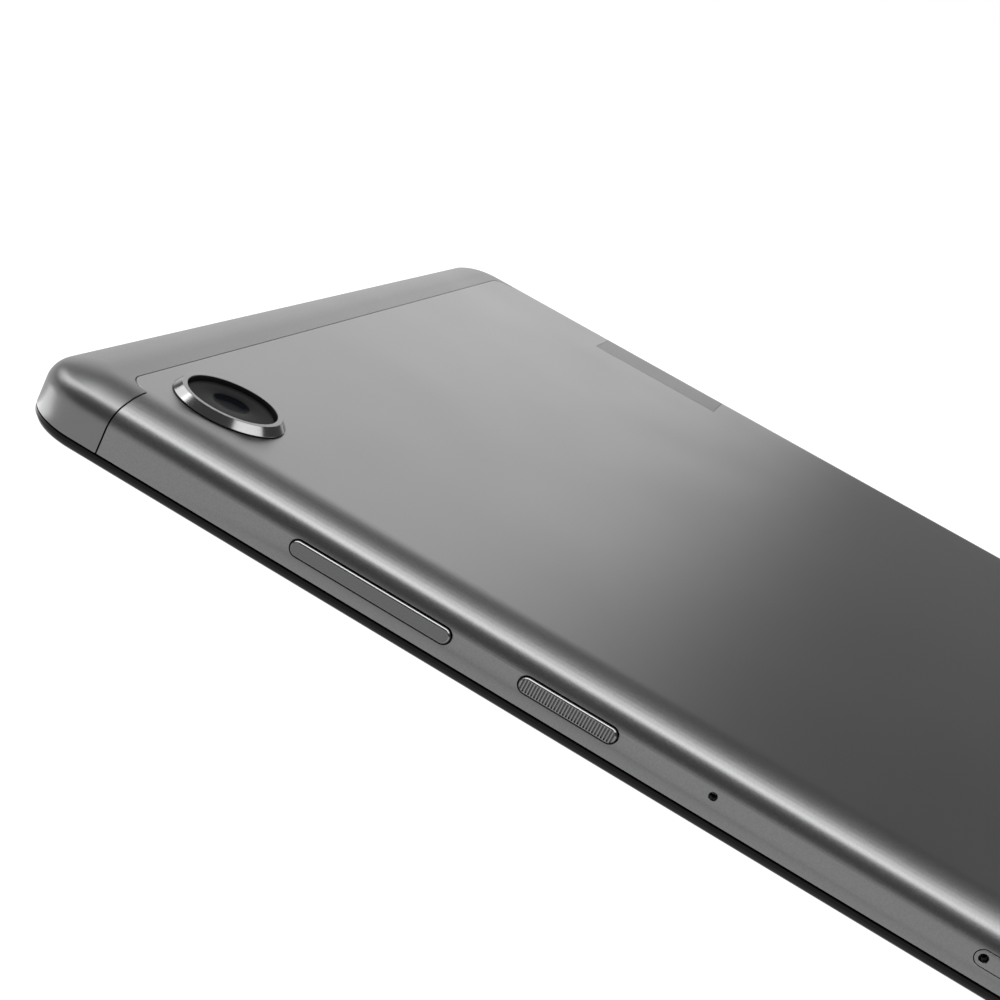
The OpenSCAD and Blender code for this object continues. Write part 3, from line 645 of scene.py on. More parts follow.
def strides(points: list[Flat]) -> list[Flat]:
    """Works out the step from each point to the next."""
    return [(there[0] - here[0], there[1] - here[1]) for here, there in zip(points, points[1:])]


def tinted(colour: Colour, factor: float) -> Colour:
    """Makes a colour lighter or darker by a factor."""
    return tuple(min(1.0, part * factor) for part in colour)


# ---- Finishes ----


@dataclass(frozen=True)
class Finish(ABC):
    """What a piece is made of. Each finish becomes one material, made once."""

    name: str

    def material(self) -> bpy.types.Material:
        """Gives the finish's material, and makes it the first time."""
        made = bpy.data.materials.get(self.name)
        if made is None:
            graph = Graph(self.name)
            self.wire(graph)
            made = graph.material
        return made

    @abstractmethod
    def wire(self, graph: Graph) -> None:
        """Wires the finish's nodes."""


@dataclass(frozen=True)
class BlastedMetal(Finish):
    """Bead-blasted and anodised aluminium with a fine grain."""

    colour: Colour = (0.165, 0.166, 0.167)
    roughness: float = 0.35
    grain: float = 0.2
    contrast: float = 0.2
    relief: float = 0.003
    edge: float = 1.0
    wear: Flat = (22.0, 0.04)

    def wire(self, graph: Graph) -> None:
        """Grain in the colour, the gloss and the relief, under a faint cloud of broad wear."""
        grain = graph.noise(self.grain, rough=0.65)
        cloud = graph.noise(self.wear[0])
        shade = (grain - 0.5) * (2.0 * self.contrast) + (cloud - 0.5) * self.wear[1] + 0.5
        graph.shade(
            Base_Color=graph.mix(shade, tinted(self.colour, 0.5), tinted(self.colour, 1.5)),
            Metallic=1.0,
            Specular_Tint=(self.edge, self.edge, self.edge),
            Roughness=grain * 0.1 + cloud * 0.06 + (self.roughness - 0.08),
            Normal=graph.relief(grain, self.relief, 0.6),
        )


@dataclass(frozen=True)
class KeyMetal(BlastedMetal):
    """A key's metal: a blasted face with groove floors painted darker as shade, inside a bright turned chamfer.
    """

    face: float = -77.0
    chamfer: Colour = (0.2, 0.2, 0.202)
    slopes: Flat = (-0.93, -0.25)
    # How dark the grooves' floors are painted as shade, as a share of the face's colour.
    groove: float = 0.4

    def wire(self, graph: Graph) -> None:
        """The chamfer is told by its slope, and the grooves' floors, which get painted shade, by their depth
        behind the face.
        """
        _, slope, _ = graph.axes(graph.node("ShaderNodeTexCoord", result="Normal"))
        _, across, _ = graph.axes(graph.place())
        bright = (slope > self.slopes[0]) * (slope < self.slopes[1])
        # Painted shade: the faces behind the key's face, the groove floors, are picked out here.
        sunk = (across > (self.face + 0.06) * MM) * (slope < self.slopes[0])
        grain = graph.noise(self.grain, rough=0.65)
        shade = (grain - 0.5) * (2.0 * self.contrast) + 0.5
        face = graph.mix(shade, tinted(self.colour, 0.5), tinted(self.colour, 1.5))
        # The groove floors get their painted shade.
        face = graph.mix(sunk, face, tinted(self.colour, self.groove))
        graph.shade(
            Base_Color=graph.mix(bright, face, self.chamfer),
            Metallic=1.0,
            Roughness=grain * 0.1 + (self.roughness - 0.05) - bright * 0.16,
            Normal=graph.relief(grain, self.relief, 0.6),
        )


@dataclass(frozen=True)
class PolishedRing(Finish):
    """A ring turned from metal: a polished slope, a satin rim, a dark wall inside, and a painted shadow on its
    foot below.
    """

    colour: Colour = (0.19, 0.19, 0.192)
    centre: Flat = (0.0, 0.0)
    rim: Flat = (5.3, 5.95)
    # Below this height in millimetres, the ring's foot is painted near-black as a shadow.
    foot: float = 8.14

    def wire(self, graph: Graph) -> None:
        """Fine turning marks run round the ring; the rim is rougher than the slope, and the foot is painted
        near-black as a shadow.
        """
        reach, height = graph.around(self.centre)
        rim = (reach < (self.rim[1] + 0.01) * MM) * (reach > (self.rim[0] + 0.07) * MM)
        inside = reach < (self.rim[0] + 0.06) * MM
        # Painted shadow: the band of the foot where the ring meets the cover.
        foot = height < self.foot * MM
        marks = graph.node("ShaderNodeTexNoise", {"noise_dimensions": "1D"}, {
            "W": reach * 1000.0 + height * 1000.0, "Scale": 26.0, "Detail": 2.0}, "Fac")
        speck = graph.noise(0.2)
        body = graph.mix(speck, tinted(self.colour, 0.92), tinted(self.colour, 1.08))
        graph.shade(
            # The near-black colour covers the dark inside wall and the foot's painted shadow.
            Base_Color=graph.mix(inside.math("MAXIMUM", foot), body, (0.012, 0.012, 0.013)),
            Metallic=1.0 - inside * 0.6,
            Roughness=0.12 + marks * 0.08 + rim * 0.22 + inside * 0.2,
            Normal=graph.relief(marks, 0.0008, 0.5),
        )


@dataclass(frozen=True)
class Moulded(Finish):
    """Moulded plastic or rubber with a fine spark-eroded grain."""

    colour: Colour = (0.02, 0.02, 0.021)
    roughness: float = 0.5
    grain: float = 0.25
    relief: float = 0.004
    metallic: float = 0.0
    gloss: float = 0.5

    def wire(self, graph: Graph) -> None:
        """Even grain with slow changes of gloss."""
        grain = graph.noise(self.grain, 3.0)
        cloud = graph.noise(9.0)
        graph.shade(
            Base_Color=graph.mix(cloud, tinted(self.colour, 0.8), tinted(self.colour, 1.2)),
            Metallic=self.metallic,
            Specular_IOR_Level=self.gloss,
            Roughness=cloud * 0.16 + grain * 0.08 + (self.roughness - 0.12),
            Normal=graph.relief(grain, self.relief, 0.5),
        )


@dataclass(frozen=True)
class Brushed(Finish):
    """Rolled or brushed sheet metal: long fine scratches along one way."""

    colour: Colour = (0.5, 0.5, 0.5)
    roughness: float = 0.32
    stretch: Point = (0.05, 1.0, 1.0)
    tarnish: float = 0.12

    def wire(self, graph: Graph) -> None:
        """Scratches change the colour, the gloss and the relief a little."""
        scratch = graph.noise(0.09, 3.0, self.stretch, 0.6)
        cloud = graph.noise(6.0, 3.0)
        shade = (scratch - 0.5) * 0.3 + (cloud - 0.5) * (2 * self.tarnish) + 0.5
        graph.shade(
            Base_Color=graph.mix(shade, tinted(self.colour, 0.7), tinted(self.colour, 1.3)),
            Metallic=1.0,
            Roughness=scratch * 0.14 + cloud * 0.1 + (self.roughness - 0.12),
            Normal=graph.relief(scratch, 0.001, 0.5),
        )


@dataclass(frozen=True)
class ScreenGlass(Finish):
    """Toughened glass over a black printed border, with the sleeping screen a shade lighter in the middle."""

    screen: Flat = (224.6, 143.5)

    def wire(self, graph: Graph) -> None:
        """The screen's own area is told from the border by its place; faint smears change the gloss."""
        along, across, height = graph.axes(graph.place())
        inside = (abs(along) < self.screen[0] / 2 * MM) * (abs(across) < self.screen[1] / 2 * MM)
        inside = inside * (height < 0.1 * MM)
        smear = graph.noise(14.0, 4.0, (1.0, 0.4, 1.0), 0.6)
        cells = graph.noise(0.12, 1.0)
        screen = graph.mix(cells, (0.010, 0.011, 0.014), (0.016, 0.017, 0.021))
        graph.shade(
            Base_Color=graph.mix(inside, (0.0055, 0.0055, 0.006), screen),
            Roughness=smear.ramp(0.4, 0.75, 0.05, 0.14),
            IOR=1.3,
            Normal=graph.relief(smear, 0.002, 0.2),
        )


@dataclass(frozen=True)
class PrintedFace(Finish):
    """The camera's black face: ink printed behind a hard gloss layer."""

    centre: Flat = (0.0, 0.0)
    colour: Colour = (0.0085, 0.0085, 0.0088)
    edge: Flat = (2.15, 5.3)

    def wire(self, graph: Graph) -> None:
        """The ink is darker toward its outer edge and carries a fine speckle."""
        reach, _ = graph.around(self.centre)
        outer = reach.ramp((self.edge[1] - 0.5) * MM, (self.edge[1] - 0.2) * MM)
        speck = graph.noise(0.12)
        ink = graph.mix(speck, tinted(self.colour, 0.85), tinted(self.colour, 1.15))
        graph.shade(
            Base_Color=graph.mix(outer, ink, (0.003, 0.003, 0.003)),
            Roughness=speck * 0.06 + 0.2,
            IOR=1.04,
            Normal=graph.relief(speck, 0.0008, 0.3),
        )


@dataclass(frozen=True)
class LensGlass(Finish):
    """Coated optical glass over a dark barrel, with the coating's faint coloured reflection painted into its
    colour as a sheen.
    """

    colour: Colour = (0.0025, 0.0025, 0.003)
    # The colour of the painted sheen that stands for the coating's reflection.
    coating: Colour = (0.006, 0.007, 0.009)
    roughness: float = 0.05

    def wire(self, graph: Graph) -> None:
        """A painted sheen: the coating's colour gathers where the surface turns away from the view; a trace of
        haze changes the gloss.
        """
        # Painted reflection: how far the surface turns away from the view mixes in the coating's colour.
        facing = graph.node("ShaderNodeLayerWeight", sockets={"Blend": 0.35}, result="Facing")
        haze = graph.noise(1.2, 3.0)
        graph.shade(
            Base_Color=graph.mix(facing, self.colour, self.coating),
            Roughness=haze * 0.06 + self.roughness,
            IOR=1.03,
        )


@dataclass(frozen=True)
class Plated(Finish):
    """Gold plating with fine wear marks."""

    colour: Colour = (0.78, 0.53, 0.2)

    def wire(self, graph: Graph) -> None:
        """Wear dulls the gold in small patches."""
        wear = graph.noise(0.4, 4.0, rough=0.6)
        graph.shade(
            Base_Color=graph.mix(wear, tinted(self.colour, 0.8), tinted(self.colour, 1.12)),
            Metallic=1.0,
            Roughness=wear.ramp(0.35, 0.65, 0.18, 0.34),
            Normal=graph.relief(wear, 0.0015, 0.4),
        )


@dataclass(frozen=True)
class ContactBlade(Finish):
    """A black moulded tongue with a row of gold contacts set flush in both faces."""

    middle: Flat = (0.0, 0.0)
    pitch: float = 0.5
    reach: float = 2.9

    def wire(self, graph: Graph) -> None:
        """Contacts lie side by side across the tongue, short of its front edge."""
        along, across, height = graph.axes(graph.place())
        stripe = (across / (self.pitch * MM)).math("FRACT")
        strip = (stripe > 0.22) * (stripe < 0.78) * (abs(across) < self.reach * MM)
        front = (along < (self.middle[0] + 2.1) * MM) * (along > (self.middle[0] - 2.6) * MM)
        gold = strip * front * (abs(height - self.middle[1] * MM) > 0.3 * MM)
        grain = graph.noise(0.2)
        plastic = graph.mix(grain, (0.012, 0.012, 0.013), (0.024, 0.024, 0.025))
        graph.shade(
            Base_Color=graph.mix(gold, plastic, (0.75, 0.52, 0.2)),
            Metallic=gold,
            Roughness=0.5 - gold * 0.25 + grain * 0.08,
            Normal=graph.relief(grain, 0.002, 0.4),
        )


@dataclass(frozen=True)
class Laminate(Finish):
    """A circuit board or flex: solder mask over copper tracks that run square to each other."""

    colour: Colour = (0.01, 0.05, 0.028)
    track: Colour = (0.02, 0.09, 0.05)
    pitch: float = 0.9

    def wire(self, graph: Graph) -> None:
        """Tracks are bands of a coarse checked pattern, a little raised under the mask."""
        along, across, _ = graph.axes(graph.place())
        rows = (across / (self.pitch * MM)).math("FRACT") < 0.4
        columns = (along / (self.pitch * MM)).math("FRACT") < 0.4
        zones = graph.noise(6.0, 0.0) > 0.5
        tracks = rows * zones + columns * (1.0 - zones)
        mask = graph.noise(0.5, 3.0)
        graph.shade(
            Base_Color=graph.mix(tracks, self.colour, self.track),
            Roughness=mask * 0.2 + 0.28,
            Coat_Weight=0.15,
            Normal=graph.relief(tracks * 0.8 + mask * 0.2, 0.02, 0.6),
        )


@dataclass(frozen=True)
class Woven(Finish):
    """A fine woven mesh that keeps dust out of a row of holes."""

    colour: Colour = (0.05, 0.05, 0.052)
    pitch: float = 0.16

    def wire(self, graph: Graph) -> None:
        """Threads cross over and under each other."""
        _, across, height = graph.axes(graph.place())
        warp = (across * (math.tau / (self.pitch * MM))).math("SINE")
        weft = (height * (math.tau / (self.pitch * MM))).math("SINE")
        weave = (warp * weft + 1.0) * 0.5
        graph.shade(
            Base_Color=graph.mix(weave, tinted(self.colour, 0.2), tinted(self.colour, 1.4)),
            Metallic=0.6,
            Roughness=0.6 - weave * 0.2,
            Normal=graph.relief(weave, 0.04, 0.8),
        )


# ---- Sub-assemblies ----


@dataclass
class BodyForm:
    """The tablet's outer form: a rounded rectangle whose upper edge turns in along a tight and a wide arc."""

    length: float = 244.2
    width: float = 153.3
    height: float = 8.0
    corner: float = 7.8
    edge: float = 2.7
    crown: float = 10.5
    turn: float = 62.0
    foot: float = 1.45
    wall: float = 0.9
    corner_steps: int = 28
    edge_steps: int = 12
    crown_steps: int = 9

    def end(self, distance: float) -> float:
        """X of a place that is a distance in from the camera end."""
        return distance - self.length / 2

    def key_side(self, distance: float) -> float:
        """Y of a place that is a distance in from the side with the keys."""
        return distance - self.width / 2

    def dock_side(self, distance: float) -> float:
        """Y of a place that is a distance in from the dock side."""
        return self.width / 2 - distance

    def section(self, inner: float) -> list[Flat]:
        """Works out the section of the side above its straight foot.

        Args:
            inner: How far inside the outer surface the section lies.

        Returns:
            Points as distance in from the side and height, starting where the first arc does.
        """
        swing = math.radians(self.turn)
        edge_z = self.height - self.edge * math.sin(swing) - self.crown * (1 - math.sin(swing))
        crown_in = self.edge + (self.crown - self.edge) * math.cos(swing)
        crown_z = edge_z - (self.crown - self.edge) * math.sin(swing)
        points = []
        for step in range(self.edge_steps + 1):
            angle = swing * step / self.edge_steps
            radius = self.edge - inner
            points.append((self.edge - radius * math.cos(angle), edge_z + radius * math.sin(angle)))
        for step in range(1, self.crown_steps + 1):
            angle = swing + (math.pi / 2 - swing) * step / self.crown_steps
            radius = self.crown - inner
            points.append((crown_in - radius * math.cos(angle), crown_z + radius * math.sin(angle)))
        return points

    def solid(self, name: str, inner: float, low: float) -> Workpiece:
        """Builds the form as one closed solid.

        Args:
            name: The piece's name.
            inner: How far it is taken in all over.
            low: The height of its underside.

        Returns:
            The solid.
        """
        size = (self.length - 2 * inner, self.width - 2 * inner)
        plate = Workpiece.plate(name, size, self.corner - inner, self.corner_steps)
        points = self.section(inner)
        return plate.raised([(0.0, points[0][1] - low), *strides(points)]).placed((0, 0, low))


@dataclass
class CameraEye:
    """The rear camera: a bevelled metal ring round a sunk black face with a lens behind it."""

    form: BodyForm
    from_end: float = 17.35
    from_side: float = 14.8
    ring: float = 6.7
    rim: float = 5.95
    mouth: float = 5.34
    rise: float = 1.05
    foot: float = 0.15
    spigot: float = 5.9
    ledge: float = 4.52
    recess: float = 0.5
    aperture: float = 2.15
    lens: float = 1.9
    seat_gap: float = 0.05
    spigot_depth: float = 0.7
    face_thick: float = 0.12
    face_gap: float = 0.04
    dome: float = 0.25
    turn_steps: int = 120

    @property
    def centre(self) -> Flat:
        """Where the camera's axis stands."""
        return self.form.end(self.from_end), self.form.key_side(self.from_side)

    def turned(self, name: str, profile: list[Flat]) -> Workpiece:
        """Spins a closed profile about the camera's axis.

        Args:
            name: The piece's name.
            profile: Its points as radius and height.

        Returns:
            The solid.
        """
        east, north = self.centre
        points = [(east + radius, north, height) for radius, height in profile]
        return Workpiece.wire(name, points).spun(self.centre, self.turn_steps)

    def opening(self) -> Workpiece:
        """The cutter for the ring's seat in the rear cover."""
        top = self.form.height
        radius = self.spigot + self.seat_gap
        return self.turned("ring_seat", [
            (0.0, top - 2), (radius, top - 2), (radius, top + 1), (0.0, top + 1)])

    def make_ring(self) -> None:
        """The ring, with its outer slope, its flat rim, and the ledge that holds the window."""
        top = self.form.height + self.rise
        base = self.form.height
        low = base - self.spigot_depth
        ring = self.turned("camera_ring_bezel", [
            (self.ledge, low), (self.spigot, low), (self.spigot, base),
            (self.ring - 0.05, base), (self.ring, base + 0.04), (self.ring, base + self.foot - 0.03),
            (self.ring - 0.02, base + self.foot + 0.03),
            (self.rim + 0.05, top - 0.055), (self.rim + 0.02, top - 0.018), (self.rim - 0.05, top),
            (self.mouth + 0.09, top), (self.mouth + 0.03, top - 0.025), (self.mouth, top - 0.09),
            (self.mouth, base), (self.ledge, base)])
        metal = PolishedRing("ring_metal_turned_painted_foot_shadow", centre=self.centre, rim=(self.mouth, self.rim))
        ring.finished("tablet", metal, "ring_metal", "camera_ring", angle=12)

    def make_face(self) -> None:
        """The black face, with the softly rounded edge of its lens opening."""
        top = self.form.height + self.rise - self.recess
        low, outer, inner = top - self.face_thick, self.mouth - self.face_gap, self.aperture
        face = self.turned("camera_face_plate", [
            (inner, low), (outer, low), (outer, top - 0.04), (outer - 0.04, top),
            (inner + 0.16, top), (inner + 0.05, top - 0.03), (inner, top - 0.08)])
        ink = PrintedFace("camera_face_ink", centre=self.centre)
        face.finished("tablet", ink, "face_plate", "camera_face")

    def make_window(self) -> None:
        """The window under the face, with a shallow cup in its middle that lets the lens show."""
        top = self.form.height + self.rise - self.recess - self.face_thick
        low, outer = self.form.height, self.mouth - self.face_gap
        window = self.turned("camera_cover_window", [
            (0.0, low), (outer, low), (outer, top), (self.aperture + 0.05, top),
            (self.aperture - 0.25, top - 0.16), (self.lens - 0.35, top - 0.3), (0.9, top - 0.34),
            (0.0, top - 0.36)])
        window.finished("tablet", LensGlass("camera_window_glass_painted_sheen"), "window_glass", "camera_window", angle=40)

    def make_lens(self) -> None:
        """The front lens of the barrel, domed on top."""
        low_corner, high_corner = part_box("focus_lens")
        low, high = low_corner.z / MM, high_corner.z / MM
        swings = [step * math.pi / 16 for step in range(8, -1, -1)]
        arc = [(self.lens * math.sin(swing), high - self.dome + self.dome * math.cos(swing))
               for swing in swings]
        lens = self.turned("camera_front_lens", [(0.0, low), (self.lens, low), *arc])
        glass = LensGlass("lens_coated_painted_sheen", coating=(0.007, 0.007, 0.009))
        lens.finished("focus", glass, "lens_glass", "focus_lens")

    def make(self) -> None:
        """Builds the camera's visible pieces."""
        self.make_ring()
        self.make_face()
        self.make_window()
        self.make_lens()


@dataclass
class SideKeys:
    """The volume key and the grooved power key, both in slots with round ends in the key side."""

    form: BodyForm
    level: float = 3.97
    height: float = 1.74
    gap: float = 0.15
    proud: float = 0.35
    volume: Flat = (44.0, 19.1)
    power: Flat = (67.3, 11.2)
    chamfer: Flat = (0.17, 0.21)
    groove_pitch: float = 0.335
    groove_depth: float = 0.2
    groove_share: float = 0.55
    flare: float = 0.02
    play: float = 0.3
    ear_reach: float = 0.8
    ear_thick: float = 0.4
    nib_radius: float = 0.5
    nib_share: float = 0.31
    pin: Flat = (0.9, 0.4)

    @property
    def inner(self) -> float:
        """The height of what lies behind a key's cap."""
        return self.height - self.play

    def slot(self, key: Flat) -> Workpiece:
        """The cutter for a key's slot, a little wider at its mouth.

        Args:
            key: The key's distance from the camera end and its length.

        Returns:
            The cutter.
        """
        flare = self.flare
        size = (key[1] + 2 * self.gap + 2 * flare, self.height + 2 * self.gap + 2 * flare)
        cutter = Workpiece.plate("key_slot", size, size[1] / 2)
        cutter.raised([(0.0, PAST), (flare, flare), (0.0, 2.4)])
        return cutter.placed((self.form.end(key[0]), self.form.key_side(-PAST), self.level), Toward.DOCK)

    def cap(self, name: str, key: Flat) -> Workpiece:
        """A key's cap with chamfered edges, and the ears behind the wall that hold it in.

        Args:
            name: The piece's name.
            key: The key's distance from the camera end and its length.

        Returns:
            The key.
        """
        ear = self.form.wall + self.play
        depth = self.proud + ear
        inward, rise = self.chamfer
        shares = ((0.1, 0.22), (0.72, 0.7), (0.18, 0.08))
        stages = [(0.0, depth - rise), *((share[0] * inward, share[1] * rise) for share in shares)]
        x = self.form.end(key[0])
        cap = Workpiece.plate(name, (key[1], self.height), self.height / 2, 14).raised(stages)
        cap.placed((x, self.form.key_side(ear), self.level), Toward.KEYS)
        ears = Workpiece.plate("ears", (key[1] + 2 * self.ear_reach, self.inner), self.inner / 2)
        ears.raised([(0.0, self.ear_thick + OVERLAP)])
        ears.placed((x, self.form.key_side(ear + self.ear_thick), self.level), Toward.KEYS)
        return cap.joined(ears)

    def nib(self, x: float) -> Workpiece:
        """The short post on a key's back that presses its dome."""
        post = Workpiece.disc("nib", self.nib_radius, 24).raised([(0.0, 0.35), (0.06, 0.05)])
        root = self.form.wall + self.play + self.ear_thick - OVERLAP
        return post.placed((x, self.form.key_side(root), self.level), Toward.DOCK)

    def make_volume(self) -> None:
        """The long plain key, with its two nibs and the pin that it rocks on."""
        middle = self.form.end(self.volume[0])
        key = self.cap("volume_key_cap", self.volume)
        for side in (-1, 1):
            key.joined(self.nib(middle + side * self.volume[1] * self.nib_share))
        behind, radius = self.pin
        pin = Workpiece.disc("pin", radius, 32).raised([(0.0, self.inner)])
        pin.placed((middle, self.form.key_side(self.form.wall + behind), self.level - self.inner / 2))
        key.joined(pin)
        metal = KeyMetal("volume_key_metal", colour=(0.109, 0.11, 0.11), face=self.form.key_side(-self.proud))
        key.finished("volume_rocker", metal, "cover_metal", "volume_key", angle=25)

    def make_power(self) -> None:
        """The short key, with a row of fine upright grooves across its face."""
        middle = self.form.end(self.power[0])
        count = math.floor((self.power[1] - 0.4) / self.groove_pitch)
        width = self.groove_pitch * self.groove_share
        key = self.cap("power_key_cap", self.power)
        face = self.form.key_side(-self.proud)
        first = middle - (count - 1) / 2 * self.groove_pitch
        groove = Workpiece.plate("groove", (width, self.height - 2 * self.chamfer[0] - 0.04), width / 2, 4)
        groove.raised([(0.0, 0.3 + self.groove_depth - 0.05), (0.03, 0.05)])
        groove.placed((first, face - 0.3, self.level), Toward.DOCK)
        groove.repeated(count, (self.groove_pitch, 0.0, 0.0))
        key.cut(groove).joined(self.nib(middle))
        metal = KeyMetal("power_key_metal_painted_groove_shade", colour=(0.18, 0.18, 0.181), contrast=0.1, face=face)
        key.finished("power_button", metal, "cover_metal", "power_key", angle=25)

    def make(self) -> None:
        """Builds both keys."""
        self.make_volume()
        self.make_power()


@dataclass
class CardTray:
    """The card tray, whose door lies flush in the key side with a pin hole at one end."""

    form: BodyForm
    metal: Finish
    from_end: float = 120.9
    level: float = 3.97
    length: float = 17.0
    height: float = 1.76
    thickness: float = 1.2
    gap: float = 0.06
    pin: float = 0.48
    card: Flat = (11.0, 15.0)
    plate: float = 1.0
    inset: float = 0.9
    rim: float = 1.0
    lip: float = 0.6
    pocket_floor: float = 0.3

    @property
    def middle(self) -> float:
        """X of the door's middle."""
        return self.form.end(self.from_end)

    def slot(self) -> Workpiece:
        """The cutter for the door's opening in the rear cover."""
        size = (self.length + 2 * self.gap, self.height + 2 * self.gap)
        cutter = Workpiece.plate("tray_slot", size, size[1] / 2, 16).raised([(0.0, 4.0)])
        return cutter.placed((self.middle, self.form.key_side(-PAST), self.level), Toward.DOCK)

    def make(self) -> None:
        """Builds the door and the tray behind it, with its pocket for the card and its pin hole."""
        inner_y = self.form.key_side(self.thickness)
        wide, long = self.card[0] + 2 * self.rim, self.card[1] + 1.5
        right = self.middle + self.length / 2 - self.inset
        left = right - wide
        end = inner_y + long
        half = self.plate / 2
        door = Workpiece.plate("card_tray_drawer", (self.length, self.height), self.height / 2, 16)
        door.raised([(0.0, self.thickness - 0.05), (0.02, 0.035), (0.035, 0.015)])
        door.placed((self.middle, inner_y, self.level), Toward.KEYS)
        door.joined(Workpiece.block("drawer", (left, inner_y - OVERLAP, self.level - half),
                                    (right, end, self.level + half)))
        back, floor = end - self.lip, self.level - half + self.pocket_floor
        pocket = Workpiece.block("pocket", (left + self.rim, back - self.card[1], floor),
                                 (right - self.rim, back, self.level + 2))
        window = Workpiece.block("window", (left + 2, end + 0.4 - self.card[1], self.level - 2),
                                 (right - 2, end - 3.6, self.level + 2))
        hole = Workpiece.disc("pin_hole", self.pin + 0.05, 32).raised([(0.0, PAST), (0.05, 0.06), (0.0, 2.2)])
        hole.placed((self.middle - self.length / 2 + self.inset, self.form.key_side(-PAST), self.level),
                    Toward.DOCK)
        door.cut(pocket).cut(window).cut(hole)
        door.finished("tray", self.metal, "cover_metal", "card_tray", angle=35)


@dataclass
class AudioSocket:
    """The audio socket's bore through the cap at the camera end."""

    form: BodyForm
    radius: float = 1.8
    from_side: float = 18.0
    level: float = 4.55
    boss: float = 4.7

    @property
    def across(self) -> float:
        """Y of the bore."""
        return self.form.dock_side(self.from_side)

    def boss_block(self) -> Workpiece:
        """The boss behind the cap's wall that the bore goes through."""
        block = Workpiece.block("boss", (self.form.end(0), self.across - 3, 2.9),
                                (self.form.end(self.boss), self.across + 3, self.form.height))
        return block.trimmed(self.form.solid("boss_limit", self.form.wall / 2, 2.9))

    def bore(self) -> Workpiece:
        """The cutter for the bore, with a turned chamfer at its mouth."""
        cutter = Workpiece.disc("bore", self.radius + 0.22, 64)
        cutter.raised([(0.0, PAST), (0.22, 0.22), (0.0, self.boss + 1)])
        return cutter.placed((self.form.end(-PAST), self.across, self.level), Toward.FOOT)


@dataclass
class UsbSocket:
    """The charging socket at the connector end: a drawn steel shell round a moulded tongue."""

    form: BodyForm
    level: float = 4.8
    size: Flat = (8.94, 3.16)
    wall: float = 0.3
    inset: float = 1.2
    depth: float = 7.4
    back: float = 0.4
    gap: float = 0.08
    flare: float = 0.18
    tongue: Flat = (6.7, 0.7)
    tongue_inset: float = 0.8
    lugs: Flat = (4.2, 7.6)
    lug: Point = (1.0, 0.9, 0.2)

    def opening(self) -> Workpiece:
        """The cutter for the socket's opening in the cap, with a rounded mouth."""
        grow = 2 * (self.gap + self.flare)
        size = (self.size[0] + grow, self.size[1] + grow)
        cutter = Workpiece.plate("usb_opening", size, size[1] / 2, 16)
        cutter.raised([(0.0, PAST), (0.1, 0.04), (0.05, 0.05), (0.03, 0.1), (0.0, 2.0)])
        return cutter.placed((self.form.length / 2 + PAST, 0, self.level), Toward.HEAD)

    def make_shell(self) -> None:
        """The shell, closed at its back, with a rounded front edge."""
        front = self.form.length / 2 - self.inset
        outer = Workpiece.plate("usb_shell_drawn", self.size, self.size[1] / 2, 16)
        outer.raised([(0.0, self.depth - 0.06), (0.02, 0.04), (0.05, 0.02)])
        outer.placed((front - self.depth, 0, self.level), Toward.FOOT)
        hollow = (self.size[0] - 2 * self.wall, self.size[1] - 2 * self.wall)
        core = Workpiece.plate("hollow", hollow, hollow[1] / 2, 16).raised([(0.0, self.depth)])
        core.placed((front - self.depth + self.back, 0, self.level), Toward.FOOT)
        outer.cut(core)
        board_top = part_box("sub_board")[1].z / MM
        long, reach, thick = self.lug
        inner, far = self.size[0] / 2 - self.wall, self.size[0] / 2 + reach
        for low, high in ((-far, -inner), (inner, far)):
            for back in self.lugs:
                x = self.form.length / 2 - back
                lug = Workpiece.block("lug", (x - long / 2, low, board_top),
                                      (x + long / 2, high, board_top + thick))
                outer.joined(lug)
        outer.finished("tablet", Brushed("usb_shell_steel", (0.42, 0.42, 0.43), 0.3, (0.08, 1.0, 1.0)),
                       "plate_steel", "usb_shell", angle=35)

    def make_tongue(self) -> None:
        """The tongue, with a stepped front and its two rows of contacts."""
        front = self.form.length / 2 - self.inset - self.tongue_inset
        back = self.form.length / 2 - self.inset - self.depth + self.back
        tongue = Workpiece.plate("usb_tongue_blade", self.tongue, 0.12, 4)
        tongue.raised([(0.0, front - back - 0.5), (0.05, 0.1), (0.0, 0.3), (0.06, 0.1)])
        tongue.placed((back, 0, self.level), Toward.FOOT)
        collar = Workpiece.plate("collar", (self.tongue[0] + 0.5, self.tongue[1] + 0.5), 0.2, 4)
        collar.raised([(0.0, 1.4), (0.1, 0.1)])
        collar.placed((back, 0, self.level), Toward.FOOT)
        tongue.joined(collar)
        middle = ((front + back) / 2 + 0.8, self.level)
        plastic = ContactBlade("usb_tongue_plastic", middle=middle)
        tongue.finished("tablet", plastic, "black_plastic", "usb_tongue", angle=35)

    def make(self) -> None:
        """Builds the shell and the tongue."""
        self.make_shell()
        self.make_tongue()


